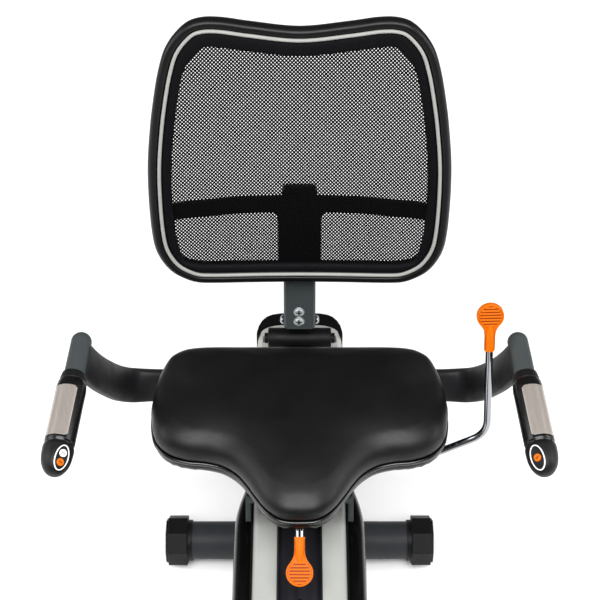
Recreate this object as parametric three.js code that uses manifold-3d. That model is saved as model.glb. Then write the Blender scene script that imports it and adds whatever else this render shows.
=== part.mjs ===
// Recumbent exercise bike, in millimetres: +Z is up, the front of the bike faces -Y, and the
// rider's left side is +X. The floor is z = 0. The object is one assembly of separate pieces.
import * as THREE from "three";
import { mergeVertices } from "three/addons/utils/BufferGeometryUtils.js";
import Module from "manifold-3d";

const wasm = await Module();
wasm.setup();

// ---- Driving dimensions ----
const GAP = 0.3; // clearance between neighbouring pieces
const RAIL_HALF = 70; // half width of the aluminium seat rail
const RAIL_TOP = 330;
const RAIL_BASE = 268;
const RAIL_FRONT = -470;
const RAIL_REAR = 284;
const CHANNEL_HALF = 33.5; // the slot along the top of the rail
const CHANNEL_FLOOR = 303;
const STOP_PITCH = 50; // distance between the seat stops in the channel
const REAR_FOOT_Y = 122;
const FRONT_FOOT_Y = -1130;
const FOOT_Z = 40; // centre height of both stabilizer tubes
const FOOT_TUBE_R = 32;
const TUBE_WALL = 2.5;
const FOOT_HALF = 226; // half length of the stabilizers over their end caps
const CRANK = { y: -760, z: 350 };
const CRANK_LENGTH = 170;
const CRANK_ANGLE = -25; // degrees the left crank points below straight forward
const PULLEY_R = 110;
const FLYWHEEL = { y: -1010, z: 300, r: 122 };
const SPINDLE_PULLEY_R = 16;
const IDLER = { y: -887, z: 182, r: 18 };
const BRAKE_PIVOT = { y: -924, z: 172 };
const HOUSING_HALF = 62;
const HOUSING_WALL = 3;
const MAST_FOOT = { y: -790, z: 470 };
const MAST_HEAD = { y: -905, z: 1000 };
const MAST_LEAN = (MAST_HEAD.y - MAST_FOOT.y) / (MAST_HEAD.z - MAST_FOOT.z);
const SEAT_BASE_Z = 434;
const SEAT_SEAM_Z = 452;
const SEAT_TOP_Z = 506;
const ARM_BAR_Y = 158;
const ARM_BAR_Z = 400;
const BACK_ORIGIN = { y: 255, z: 423 }; // foot of the back post, on its front face
const BACK_LEAN = THREE.MathUtils.degToRad(12);
const BACK_CURVE = 22 / 227 ** 2; // how the back wraps forward with the square of the width
const BACK_FRONT = 8.6; // distance from the post's face to the back of the moulded frame
const RECLINE_PIVOT = { s: 10, t: -12 };
const HANDLE_START = new THREE.Vector3(312.5, 62, 600);
const HANDLE_AXIS = new THREE.Vector3(0.109, -0.975, -0.195).normalize();
const HANDLE_R = 15;
const GRIP_R = 21.5;
const GRIP_FROM = 54; // distances along the handle's axis
const GRIP_TO = 170;
const SENSOR = { from: 82, to: 162 };
const PANEL = { at: 194, height: 18.3, slope: THREE.MathUtils.degToRad(15) }; // flat for the buttons
const BUTTON_R = 5.5;
const BUTTON_PAIR = 6.5; // distance of the right grip's two buttons from the panel's centre
const PADDLE_R = 19.4;
const LEVER_ROD_R = 5.5;
const SIDE_LEVER_PIVOT = { y: 6, z: 411 };
const FRONT_LEVER_PIVOT = { y: -70, z: 411 };
const FRONT_WIRE = { x: 3.1, r: 1.9 }; // the twin wires of the front lever

// ---- Materials ----
const finish = (color, roughness, metalness) => ({ color, roughness, metalness });
const SLATE_PAINT = finish(0x3a3e3e, 0.5, 0.3);
const BLACK_STEEL = finish(0x161617, 0.4, 0.4);
const SILVER = finish(0xd4d6d0, 0.35, 0.8);
const CHANNEL_BLACK = finish(0x201f24, 0.55, 0.2);
const GLOSS_BLACK = finish(0x0c0c0c, 0.18, 0);
const MATTE_BLACK = finish(0x18181a, 0.6, 0);
const RUBBER = finish(0x141414, 0.85, 0);
const VINYL = finish(0x121213, 0.42, 0);
const MESH_FABRIC = finish(0x0a0a0b, 0.8, 0);
const PIPING = finish(0xb0b0b3, 0.5, 0);
const CHROME = finish(0xe0e0e2, 0.1, 1);
const BRUSHED = finish(0xbeb4ac, 0.35, 1);
const IRON = finish(0x55565a, 0.45, 0.9);
const ALLOY = finish(0xc4c6c8, 0.3, 0.9);
const ORANGE = finish(0xfa8214, 0.45, 0);
const WHITE = finish(0xf0f0f0, 0.4, 0);
const SCREEN = finish(0x1c2a30, 0.12, 0);

const bike = new THREE.Group();

// ---- Solids ----

// Turns a closed geometry into a manifold solid that faces outwards.
function toSolid(geometry) {
  const bare = new THREE.BufferGeometry();
  bare.setAttribute("position", geometry.getAttribute("position"));
  bare.setIndex(geometry.index);
  const merged = mergeVertices(bare, 1e-3);
  const source = merged.index.array;
  const faces = [];
  for (let i = 0; i < source.length; i += 3) {
    const [a, b, c] = [source[i], source[i + 1], source[i + 2]];
    if (a !== b && b !== c && a !== c) faces.push(a, b, c);
  }
  const vertProperties = new Float32Array(merged.getAttribute("position").array);
  const build = (triVerts) => new wasm.Manifold(new wasm.Mesh({ numProp: 3, vertProperties, triVerts }));
  const solid = build(new Uint32Array(faces));
  return solid.volume() > 0 ? solid : build(new Uint32Array(faces.reverse()));
}

function toGeometry(solid) {
  const { vertProperties, triVerts } = solid.getMesh();
  const geometry = new THREE.BufferGeometry();
  geometry.setAttribute("position", new THREE.BufferAttribute(vertProperties, 3));
  geometry.setIndex(new THREE.BufferAttribute(triVerts, 1));
  geometry.computeVertexNormals();
  return geometry;
}

const join = (...solids) => solids.reduce((whole, piece) => whole.add(piece));
const cut = (solid, ...tools) => tools.reduce((rest, tool) => rest.subtract(tool), solid);

function mirror(solid) {
  const geometry = toGeometry(solid);
  geometry.applyMatrix4(new THREE.Matrix4().makeScale(-1, 1, 1));
  return toSolid(geometry);
}

const symmetric = (solid) => join(solid, mirror(solid));

function addPiece(name, solid, material) {
  const mesh = new THREE.Mesh(toGeometry(solid), new THREE.MeshStandardMaterial(material));
  mesh.name = name;
  bike.add(mesh);
}

// A mirrored pair: the piece as given is on the rider's left, at +X.
function addPair(name, solid, material) {
  addPiece(`${name}_left`, solid, material);
  addPiece(`${name}_right`, mirror(solid), material);
}

function block([x0, x1], [y0, y1], [z0, z1]) {
  const geometry = new THREE.BoxGeometry(x1 - x0, y1 - y0, z1 - z0);
  geometry.translate((x0 + x1) / 2, (y0 + y1) / 2, (z0 + z1) / 2);
  return toSolid(geometry);
}

const point = (x, y, z) => new THREE.Vector3(x, y, z);

// A round bar between two points, tapering when the end radii differ.
function rod(from, to, radius, sides = 16, endRadius = radius) {
  const along = to.clone().sub(from);
  const geometry = new THREE.CylinderGeometry(endRadius, radius, along.length(), sides);
  geometry.translate(0, along.length() / 2, 0);
  const turn = new THREE.Quaternion().setFromUnitVectors(point(0, 1, 0), along.normalize());
  geometry.applyQuaternion(turn);
  geometry.translate(from.x, from.y, from.z);
  return toSolid(geometry);
}

const crossBar = (x0, x1, y, z, radius, sides) => rod(point(x0, y, z), point(x1, y, z), radius, sides);

// A turned part about an axis along X: the profile lists [radius, x] pairs.
function turned(profile, y, z, sides = 24) {
  const geometry = new THREE.LatheGeometry(profile.map(([r, x]) => new THREE.Vector2(r, x)), sides);
  geometry.rotateZ(-Math.PI / 2);
  geometry.translate(0, y, z);
  return toSolid(geometry);
}

// Extrudes an outline of 2D points by a thickness along the normal of a plane.
function slab(outline, thickness, plane, offset, options = {}) {
  const shape = new THREE.Shape(outline.map(([u, v]) => new THREE.Vector2(u, v)));
  const settings = { depth: thickness, bevelEnabled: false, curveSegments: 8, ...options };
  const geometry = new THREE.ExtrudeGeometry(shape, settings);
  const axes = {
    yz: [point(0, 1, 0), point(0, 0, 1), point(1, 0, 0)],
    xy: [point(1, 0, 0), point(0, 1, 0), point(0, 0, 1)],
    zx: [point(0, 0, 1), point(1, 0, 0), point(0, 1, 0)],
  }[plane];
  geometry.applyMatrix4(new THREE.Matrix4().makeBasis(...axes));
  const shift = axes[2].clone().multiplyScalar(offset);
  geometry.translate(shift.x, shift.y, shift.z);
  return toSolid(geometry);
}

const plateYZ = (outline, x0, x1) => slab(outline, x1 - x0, "yz", x0);
const plateXY = (outline, z0, z1) => slab(outline, z1 - z0, "xy", z0);
const plateZX = (outline, y0, y1) => slab(outline, y1 - y0, "zx", y0);

// A closed skin over a row of rings with equal counts; closed rows join the last ring to the first.
function loft(rings, closed = false) {
  const count = rings[0].length;
  const positions = rings.flat().flatMap((p) => [p.x, p.y, p.z]);
  const faces = [];
  const spans = closed ? rings.length : rings.length - 1;
  for (let i = 0; i < spans; i += 1) {
    const next = (i + 1) % rings.length;
    for (let j = 0; j < count; j += 1) {
      const k = (j + 1) % count;
      const [a, b, c, d] = [i * count + j, i * count + k, next * count + k, next * count + j];
      faces.push(a, b, c, a, c, d);
    }
  }
  if (!closed) {
    for (const [ring, start, flip] of [[rings[0], 0, true], [rings.at(-1), spans * count, false]]) {
      const centre = ring.reduce((sum, p) => sum.add(p), point(0, 0, 0)).divideScalar(count);
      const hub = positions.length / 3;
      positions.push(centre.x, centre.y, centre.z);
      for (let j = 0; j < count; j += 1) {
        const [a, b] = [start + j, start + ((j + 1) % count)];
        faces.push(...(flip ? [hub, b, a] : [hub, a, b]));
      }
    }
  }
  const geometry = new THREE.BufferGeometry();
  geometry.setAttribute("position", new THREE.Float32BufferAttribute(positions, 3));
  geometry.setIndex(faces);
  return toSolid(geometry);
}

// A round bar bent at each inner point of a polyline.
function bentRod(points, bend, radius, steps, sides = 10) {
  const path = new THREE.CurvePath();
  let from = points[0];
  for (let i = 1; i < points.length - 1; i += 1) {
    const before = points[i].clone().add(from.clone().sub(points[i]).setLength(bend));
    const after = points[i].clone().add(points[i + 1].clone().sub(points[i]).setLength(bend));
    path.add(new THREE.LineCurve3(from, before));
    path.add(new THREE.QuadraticBezierCurve3(before, points[i], after));
    from = after;
  }
  path.add(new THREE.LineCurve3(from, points.at(-1)));
  const section = new THREE.Shape(circle(radius, sides));
  return toSolid(new THREE.ExtrudeGeometry(section, { steps, extrudePath: path, bevelEnabled: false }));
}

function circle(radius, sides, centreU = 0, centreV = 0) {
  return Array.from({ length: sides }, (_, i) => {
    const angle = (2 * Math.PI * i) / sides;
    return new THREE.Vector2(centreU + radius * Math.cos(angle), centreV + radius * Math.sin(angle));
  });
}

// A smooth loop or arc through 2D points.
function smooth(points, count, closed) {
  const curve = new THREE.CatmullRomCurve3(points.map(([u, v]) => point(u, v, 0)), closed, "centripetal");
  const samples = curve.getSpacedPoints(count);
  if (closed) samples.pop();
  return samples.map((p) => [p.x, p.y]);
}

// Completes a right-hand half outline, listed from axis to axis, with its mirror image.
const bothSides = (half) => [...half, ...half.slice(1, -1).reverse().map(([u, v]) => [-u, v])];

// A slice of the leaning mast's line between two heights, as a Y-Z outline of a given half depth.
function mastSlice(half, low, high) {
  const centre = (z) => MAST_FOOT.y + MAST_LEAN * (z - MAST_FOOT.z);
  return [[centre(low) - half, low], [centre(low) + half, low], [centre(high) + half, high],
    [centre(high) - half, high]];
}

// ---- Main frame: one welded steel piece ----
function mainFrame() {
  const beam = plateYZ(
    [[FRONT_FOOT_Y - 30, 76], [-600, 62], [-440, RAIL_BASE - 52], [270, RAIL_BASE - 52],
      [270, RAIL_BASE - GAP], [-465, RAIL_BASE - GAP], [-625, 112], [FRONT_FOOT_Y - 30, 122]],
    -30, 30);
  const upright = plateYZ([[-800, 100], [-725, 90], [-735, 380], [-767, 466], [-811, 466]], -12, 12);
  const crankShell = crossBar(-18, 18, CRANK.y, CRANK.z, 24, 16);
  const crankBore = crossBar(-40, 40, CRANK.y, CRANK.z, 10.6, 16);
  const mastSocket = plateYZ(mastSlice(22, 440, 540), -20, 20);
  const forkPlate = [[-1036, 110], [-940, 110], [-990, 330], [-1030, 330]];
  const fork = join(plateYZ(forkPlate, -54, -48), plateYZ(forkPlate, -12, -6),
    block([-54, 12], [-1036, -985], [100, 114]));
  const spindleBore = crossBar(-70, 0, FLYWHEEL.y, FLYWHEEL.z, 6.3, 12);
  const brakeLug = cut(block([-12, -6], [-942, -906], [100, 186]),
    crossBar(-20, 0, BRAKE_PIVOT.y, BRAKE_PIVOT.z, 5.4, 12));
  const idlerArm = plateYZ([[-905, 100], [-870, 100], [-874, 196], [-901, 196]], 6, 16);
  const rearLeg = plateYZ([[110, 66], [150, 66], [262, RAIL_BASE - 40], [196, RAIL_BASE - 40]], -30, 30);
  const saddles = [REAR_FOOT_Y, FRONT_FOOT_Y].map((y) =>
    block([-45, 45], [y - 26, y + 26], [FOOT_Z + 22, FOOT_Z + 50]));
  const tubes = [REAR_FOOT_Y, FRONT_FOOT_Y].map((y) =>
    crossBar(-60, 60, y, FOOT_Z, FOOT_TUBE_R + GAP, 16));
  const idlerPin = crossBar(10, 33, IDLER.y, IDLER.z, 5, 12);
  const whole = join(beam, upright, crankShell, mastSocket, fork, brakeLug, idlerArm, idlerPin, rearLeg,
    ...saddles);
  const hollow = plateYZ(
    [[FRONT_FOOT_Y - 40, 79], [-601, 65], [-441, RAIL_BASE - 49], [280, RAIL_BASE - 49],
      [280, RAIL_BASE - 3], [-464, RAIL_BASE - 3], [-624, 109], [FRONT_FOOT_Y - 40, 119]],
    TUBE_WALL - 30, 30 - TUBE_WALL);
  return cut(whole, hollow, crankBore, spindleBore, ...tubes);
}

// ---- Seat rail ----
function rail() {
  const half = [[RAIL_BASE, 0], [RAIL_BASE, RAIL_HALF - 3], [RAIL_BASE + 3, RAIL_HALF],
    [RAIL_TOP - 16, RAIL_HALF], [RAIL_TOP - 7, RAIL_HALF - 2], [RAIL_TOP - 2, RAIL_HALF - 8],
    [RAIL_TOP, RAIL_HALF - 16], [RAIL_TOP - 1, CHANNEL_HALF + 4], [RAIL_TOP - 3, CHANNEL_HALF],
    [CHANNEL_FLOOR, CHANNEL_HALF], [CHANNEL_FLOOR, 0]];
  const other = half.slice(1, -1).reverse().map(([z, x]) => [z, -x]);
  const profile = [...half, ...other];
  const hollow = block([-62, 62], [RAIL_FRONT - 1, RAIL_REAR + 1], [RAIL_BASE + 4, CHANNEL_FLOOR - 4]);
  return cut(plateZX(profile, RAIL_FRONT, RAIL_REAR), hollow);
}

// Dark liner of the rail's slot, with a row of stop holes along its centre line.
function channelLiner() {
  const half = CHANNEL_HALF - GAP;
  const [low, floor, rim] = [CHANNEL_FLOOR + GAP, CHANNEL_FLOOR + 3, RAIL_TOP - 4];
  const profile = [[low, -half], [low, half], [rim, half], [rim, half - 2], [floor, half - 2],
    [floor, 2 - half], [rim, 2 - half], [rim, -half]];
  const plate = plateZX(profile, RAIL_FRONT + 2, RAIL_REAR - 2);
  const holes = [];
  for (let y = RAIL_FRONT + 40; y < RAIL_REAR - 30; y += STOP_PITCH) {
    holes.push(rod(point(0, y, CHANNEL_FLOOR - 2), point(0, y, CHANNEL_FLOOR + 8), 4.5, 8));
  }
  return cut(plate, ...holes);
}

function sideCover() {
  const inner = RAIL_HALF + 0.6;
  const plan = [[inner, -486], [78, -486], [86, -440], [95, -380], [96.5, -180], [96, -40], [92, -8],
    [80, 42], [inner, 62]];
  const body = plateXY(plan, 236, 322);
  const chamfer = plateZX([[322, 120], [322, 86], [316, 93], [300, 120]], -600, 100);
  const underside = plateZX([[230, 120], [230, 76], [262, 120]], -600, 100);
  return cut(body, chamfer, underside);
}

const REAR_HANDLE = { y: 320, z: 306, r: 18 };

function rearArch() {
  const outer = bothSides([[0, 352], [32, 352], [42, 350.7], [51, 347.7], [58.5, 343.3], [63.8, 337.6],
    [67, 331], [69.2, 323], [70, 314], [70, RAIL_REAR + GAP], [0, RAIL_REAR + GAP]]);
  const inner = bothSides([[0, 344], [44, 344], [49, 339], [49, 270], [0, 270]]);
  const body = cut(plateXY(outer, RAIL_BASE, RAIL_TOP), plateXY(inner, RAIL_BASE - 5, RAIL_TOP + 10));
  const edges = symmetric(plateZX([[RAIL_TOP - 9, 80], [RAIL_TOP - 9, RAIL_HALF + 1],
    [RAIL_TOP + 1, RAIL_HALF - 8], [RAIL_TOP + 9, 80]], 270, 370));
  const seats = crossBar(-62, 62, REAR_HANDLE.y, REAR_HANDLE.z + 6, 8.6, 12);
  const mouth = block([-61, 61], [REAR_HANDLE.y - 7.5, REAR_HANDLE.y + 7.5], [REAR_HANDLE.z + 6, 340]);
  return cut(body, edges, seats, mouth);
}

function rearHandle() {
  const { y, z, r } = REAR_HANDLE;
  return join(crossBar(-48.5, 48.5, y, z, r, 20), crossBar(-60, 60, y, z + 6, 7.2, 12));
}

function rearBumper() {
  const plan = bothSides([[0, 384], [20, 383.8], [34, 382.8], [46, 379.2], [56, 372.8], [63.5, 363.8],
    [68.5, 352.2], [71.3, 339], [71.8, 329], [68.2, 329], [67.6, 331.4], [64.4, 338.1], [58.9, 343.9],
    [51.3, 348.4], [42.2, 351.4], [32, 352.7], [0, 352.7]]);
  const body = plateXY(plan, RAIL_BASE - 4, RAIL_TOP - 1);
  const slope = plateYZ([[376, RAIL_TOP + 5], [376, RAIL_TOP - 1], [384, RAIL_TOP - 3], [400, RAIL_TOP]],
    -90, 90);
  return cut(body, slope);
}

// ---- Stabilizers ----
function stabilizer(y) {
  const half = FOOT_HALF - 34;
  return cut(crossBar(-half, half, y, FOOT_Z, FOOT_TUBE_R, 16),
    crossBar(-half - 1, half + 1, y, FOOT_Z, FOOT_TUBE_R - TUBE_WALL, 16));
}

// Octagonal end cap with a narrow collar; a socket takes the tube's end.
function footCap(y) {
  const radius = FOOT_Z / Math.cos(Math.PI / 8);
  const turn = (ring) => ring.map((p) => p.rotateAround(new THREE.Vector2(0, 0), Math.PI / 8));
  const octagon = (r) => turn(circle(r, 8)).map((p) => [y + p.x, FOOT_Z + p.y]);
  const body = plateYZ(octagon(radius), FOOT_HALF - 36, FOOT_HALF - 4);
  const face = plateYZ(octagon(radius - 5), FOOT_HALF - 5, FOOT_HALF);
  const collar = crossBar(FOOT_HALF - 44, FOOT_HALF - 30, y, FOOT_Z, FOOT_TUBE_R + 3, 16);
  return cut(join(body, face, collar), tubeSocket(y));
}

const tubeSocket = (y) =>
  crossBar(FOOT_HALF - 60, FOOT_HALF - 34 + GAP, y, FOOT_Z, FOOT_TUBE_R + GAP, 16);

// The front caps also carry a transport wheel in a fork ahead of the tube.
const WHEEL = { x: FOOT_HALF - 20, y: FRONT_FOOT_Y - 68, z: 42, r: 30 };

function frontCap() {
  const cheek = [[FRONT_FOOT_Y - 20, 22], [WHEEL.y - 12, 30], [WHEEL.y - 12, 54],
    [FRONT_FOOT_Y - 20, 72]];
  const forks = join(plateYZ(cheek, WHEEL.x - 16, WHEEL.x - 11), plateYZ(cheek, WHEEL.x + 11, WHEEL.x + 16));
  const pocket = crossBar(WHEEL.x - 11, WHEEL.x + 11, WHEEL.y, WHEEL.z, WHEEL.r + 4, 16);
  const axle = crossBar(WHEEL.x - 14, WHEEL.x + 14, WHEEL.y, WHEEL.z, 4, 10);
  return join(cut(join(footCap(FRONT_FOOT_Y), forks), pocket, tubeSocket(FRONT_FOOT_Y)), axle);
}

function transportWheel() {
  const { x, y, z, r } = WHEEL;
  return turned([[4.5, x - 10], [10, x - 10], [12, x - 8], [r - 3, x - 9], [r, x - 6], [r, x + 6],
    [r - 3, x + 9], [12, x + 8], [10, x + 10], [4.5, x + 10], [4.5, x - 10]], y, z, 16);
}

// ---- Drive ----
function crankAxle() {
  return crossBar(-82, 82, CRANK.y, CRANK.z, 10, 16);
}

function drivePulley() {
  const r = PULLEY_R;
  const rim = turned([[r - 14, 21], [r - 1, 21], [r + 2, 22], [r, 23], [r, 30], [r + 2, 31], [r - 1, 32],
    [r - 14, 32], [r - 14, 21]], CRANK.y, CRANK.z, 24);
  const hub = crossBar(19, 33, CRANK.y, CRANK.z, 26, 16);
  const spokes = [0, 1, 2, 3, 4].map((i) => {
    const angle = (2 * Math.PI * i) / 5;
    const [c, s] = [Math.cos(angle), Math.sin(angle)];
    const corner = (d, w) => [CRANK.y + d * c - w * s, CRANK.z + d * s + w * c];
    return plateYZ([corner(15, -14), corner(r - 8, -9), corner(r - 8, 9), corner(15, 14)], 23, 30);
  });
  const bore = crossBar(10, 40, CRANK.y, CRANK.z, 10.6, 16);
  return cut(join(rim, hub, ...spokes), bore);
}

// Points of the belt's loop round both pulleys, offset outwards from their rims.
function beltLoop(offset) {
  const dy = FLYWHEEL.y - CRANK.y;
  const dz = FLYWHEEL.z - CRANK.z;
  const towards = Math.atan2(dz, dy);
  const spread = Math.acos((PULLEY_R - SPINDLE_PULLEY_R) / Math.hypot(dy, dz));
  const arc = (centre, radius, from, to, count) => Array.from({ length: count + 1 }, (_, i) => {
    const angle = from + ((to - from) * i) / count;
    return [centre.y + radius * Math.cos(angle), centre.z + radius * Math.sin(angle)];
  });
  return [
    ...arc(CRANK, PULLEY_R + offset, towards + spread, towards + 2 * Math.PI - spread, 26),
    ...arc(FLYWHEEL, SPINDLE_PULLEY_R + offset, towards - spread, towards + spread, 8),
  ];
}

function driveBelt() {
  return cut(plateYZ(beltLoop(3.4), 23.4, 29.6), plateYZ(beltLoop(0.6), 20, 33));
}

function flywheel() {
  const { y, z, r } = FLYWHEEL;
  return turned([[6.4, -43], [24, -43], [24, -37], [r - 28, -37], [r - 26, -43], [r, -43], [r, -19],
    [r - 26, -19], [r - 28, -25], [24, -25], [24, -19], [6.4, -19], [6.4, -43]], y, z, 28);
}

// The spindle carries the flywheel between the fork plates and the small belt pulley outside them.
function flywheelSpindle() {
  const { y, z } = FLYWHEEL;
  const pulley = turned([[0, 20.5], [SPINDLE_PULLEY_R + 2, 20.5], [SPINDLE_PULLEY_R, 22.5],
    [SPINDLE_PULLEY_R, 30.5], [SPINDLE_PULLEY_R + 2, 32.5], [0, 32.5]], y, z, 20);
  return join(crossBar(-58, 22, y, z, 6, 12), pulley);
}

function idlerPulley() {
  const { y, z, r } = IDLER;
  return turned([[5.4, 21], [r + 1.5, 21], [r, 22.5], [r, 30.5], [r + 1.5, 32], [5.4, 32], [5.4, 21]],
    y, z, 20);
}

// Magnet carrier: an arched shoe under the flywheel's rim on a pivot pin at its rear end.
function brakeArm() {
  const shoe = (r) => Array.from({ length: 9 }, (_, i) => {
    const angle = THREE.MathUtils.degToRad(225 + 9 * i);
    return [FLYWHEEL.y + r * Math.cos(angle), FLYWHEEL.z + r * Math.sin(angle)];
  });
  const carrier = plateYZ([...shoe(FLYWHEEL.r + 4), ...shoe(FLYWHEEL.r + 15).reverse()], -45, -17);
  const arm = plateYZ([[-972, 168], [-952, 154], [-916, 162], [-914, 176], [-930, 182], [-958, 186]],
    -30, -17);
  return join(carrier, arm, crossBar(-30, -4, BRAKE_PIVOT.y, BRAKE_PIVOT.z, 5, 12));
}

function tensionMotor() {
  const body = block([-24, 24], [-1112, -1060], [123, 153]);
  return join(body, crossBar(-4, 30, -1086, 135, 9, 14));
}

const crankEnd = (side) => {
  const angle = THREE.MathUtils.degToRad(CRANK_ANGLE);
  const reach = side * CRANK_LENGTH;
  return { y: CRANK.y - reach * Math.cos(angle), z: CRANK.z + reach * Math.sin(angle) };
};

function crankArm(side) {
  const end = crankEnd(side);
  const along = Math.atan2(end.z - CRANK.z, end.y - CRANK.y);
  const corner = (d, w) => [CRANK.y + d * Math.cos(along) - w * Math.sin(along),
    CRANK.z + d * Math.sin(along) + w * Math.cos(along)];
  const [x0, x1] = side > 0 ? [70, 84] : [-84, -70];
  const bar = plateYZ([corner(0, -15), corner(CRANK_LENGTH, -11), corner(CRANK_LENGTH, 11), corner(0, 15)],
    x0, x1);
  const eye = crossBar(x0, x1, end.y, end.z, 13, 12);
  const boss = crossBar(x0 - 1, x1 + 1, CRANK.y, CRANK.z, 21, 16);
  const bores = [crossBar(-100, 100, CRANK.y, CRANK.z, 10.6, 12),
    crossBar(-100, 100, end.y, end.z, 7.4, 12)];
  return cut(join(bar, eye, boss), ...bores);
}

// A platform pedal with a ribbed tread, turning on a spindle fixed in the crank's eye.
function pedal(side) {
  const { y, z } = crankEnd(side);
  const [x0, x1] = [94, 192];
  const plan = [[x0, y - 40], [x1 - 12, y - 46], [x1, y - 30], [x1, y + 30], [x1 - 12, y + 46], [x0, y + 40]];
  const body = plateXY(plan, z - 13, z + 13);
  const windows = [-24, 24].map((dy) => block([x0 + 14, x1 - 16], [y + dy - 11, y + dy + 11], [0, 900]));
  const ribs = [-42, -6, 6, 42].map((dy) => block([x0 + 4, x1 - 14], [y + dy - 2, y + dy + 2],
    [z + 10, z + 16]));
  const spindle = rod(point(70, y, z), point(x0 + 4, y, z), 7, 12);
  const built = join(cut(body, ...windows), ...ribs, spindle);
  return side > 0 ? built : mirror(built);
}

// A strap that arches over the foot from one side of the pedal to the other.
function pedalStrap(side) {
  const { y, z } = crankEnd(side);
  const [inner, outer] = [92, 196];
  const arch = (lift) => [[z + 8.5, inner - lift], [z + 38, inner - lift], [z + 62 + lift, inner + 25],
    [z + 70 + lift, (inner + outer) / 2], [z + 62 + lift, outer - 16], [z + 38, outer + lift],
    [z + 8.5, outer + lift]];
  const band = plateZX([...arch(2.6), ...arch(0).reverse()], y - 18, y + 18);
  return side > 0 ? band : mirror(band);
}

// ---- Housing: two half shells round the drive ----
const HOUSING_SIDE = smooth([[-1190, 120], [-1185, 330], [-1120, 500], [-990, 620], [-860, 640],
  [-740, 580], [-630, 460], [-540, 372], [-480, 342], [-462, 300], [-470, 232], [-540, 120], [-640, 70],
  [-900, 60], [-1130, 66]], 28, true);

function housingShell() {
  const bevel = { bevelEnabled: true, bevelSegments: 2 };
  const full = (inset) => {
    const size = 20 - inset;
    const half = HOUSING_HALF - inset;
    const options = { ...bevel, bevelSize: size, bevelThickness: size, bevelOffset: -20 };
    return slab(HOUSING_SIDE, 2 * half - 2 * size, "yz", -half + size, options);
  };
  const shell = cut(full(0), full(HOUSING_WALL));
  const keep = block([GAP / 2, 200], [-1400, -300], [0, 900]);
  const half = shell.intersect(keep);
  const beamPath = plateYZ([[-1300, 50], [-600, 50], [-400, RAIL_BASE - 60], [-400, RAIL_BASE + 5],
    [-470, RAIL_BASE + 5], [-632, 126], [-1300, 126]], -31, 31);
  const railPath = block([-98, 98], [-489, -400], [230, RAIL_TOP + 3]);
  const mastPath = plateYZ(mastSlice(28.5, 520, 800), -27, 27);
  const axlePath = crossBar(40, 70, CRANK.y, CRANK.z, 27, 16);
  const footPath = block([-70, 70], [FRONT_FOOT_Y - 34, FRONT_FOOT_Y + 34], [30, 124]);
  return cut(half, beamPath, railPath, mastPath, axlePath, footPath);
}

// ---- Console ----
function consoleMast() {
  const tube = plateYZ(mastSlice(27, 474, MAST_HEAD.z), -25, 25);
  const socket = join(plateYZ(mastSlice(22.4, 460, 541), -20.4, 20.4),
    plateYZ(mastSlice(24, 530, MAST_HEAD.z - 6), -22, 22));
  const eye = crossBar(-14, 14, MAST_HEAD.y, MAST_HEAD.z + 8, 16, 16);
  const bore = crossBar(-30, 30, MAST_HEAD.y, MAST_HEAD.z + 8, 6.4, 12);
  return cut(join(tube, eye), socket, bore);
}

// A wide handlebar that loops from the mast towards the rider.
function frontHandlebar() {
  const side = bentRod([point(0, -934, 900), point(70, -934, 900), point(150, -926, 905),
    point(212, -872, 925), point(222, -762, 950)], 30, 13, 14, 8);
  const clamp = cut(block([-34, 34], [-947, -838], [880, 922]),
    plateYZ(mastSlice(27.3, 860, 940), -25.3, 25.3));
  return join(symmetric(side), clamp);
}

const CONSOLE_PIVOT = { y: MAST_HEAD.y, z: MAST_HEAD.z + 8 };
const CONSOLE_TILT = THREE.MathUtils.degToRad(28); // from upright, leaning away from the rider
const CONSOLE_FACE = 20; // the console's face above its middle plane

// Moves a solid from the console's own frame, with its face upwards, to its place on the mast.
function placeOnConsole(solid) {
  const up = point(0, -Math.sin(CONSOLE_TILT), Math.cos(CONSOLE_TILT));
  const towardsRider = point(0, Math.cos(CONSOLE_TILT), Math.sin(CONSOLE_TILT));
  const geometry = toGeometry(solid);
  geometry.translate(0, 24, 0);
  geometry.applyMatrix4(new THREE.Matrix4().makeBasis(point(-1, 0, 0), up, towardsRider));
  geometry.translate(0, CONSOLE_PIVOT.y, CONSOLE_PIVOT.z + 26);
  return toSolid(geometry);
}

function consoleBody() {
  const { y, z } = CONSOLE_PIVOT;
  const face = bothSides([[0, 118], [110, 112], [140, 96], [150, 30], [128, -8], [90, -22], [0, -24]]);
  const bevel = { bevelEnabled: true, bevelSize: 5, bevelThickness: 5, bevelSegments: 2 };
  const shell = slab(face, 2 * CONSOLE_FACE - 10, "xy", 5 - CONSOLE_FACE, bevel);
  const recess = block([-88, 88], [28, 104], [CONSOLE_FACE - 3, 50]);
  const well = rod(point(0, 2, CONSOLE_FACE - 10), point(0, 2, 50), 15, 16);
  const ear = join(block([15, 23], [y - 7, y + 7], [z, z + 30]), crossBar(15, 23, y, z, 7.4, 12));
  const pin = crossBar(-20, 20, y, z, 6, 12);
  return join(placeOnConsole(cut(shell, recess, well)), symmetric(ear), pin);
}

function consoleScreen() {
  return placeOnConsole(block([-87.6, 87.6], [28.4, 103.6], [CONSOLE_FACE - 2.6, CONSOLE_FACE - 0.8]));
}

function consoleDial() {
  const knob = rod(point(0, 2, CONSOLE_FACE - 9.4), point(0, 2, CONSOLE_FACE + 9), 14.3, 14, 13);
  const mark = block([-1.2, 1.2], [6, 15], [CONSOLE_FACE + 7.5, 50]);
  return placeOnConsole(cut(knob, mark));
}

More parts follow.
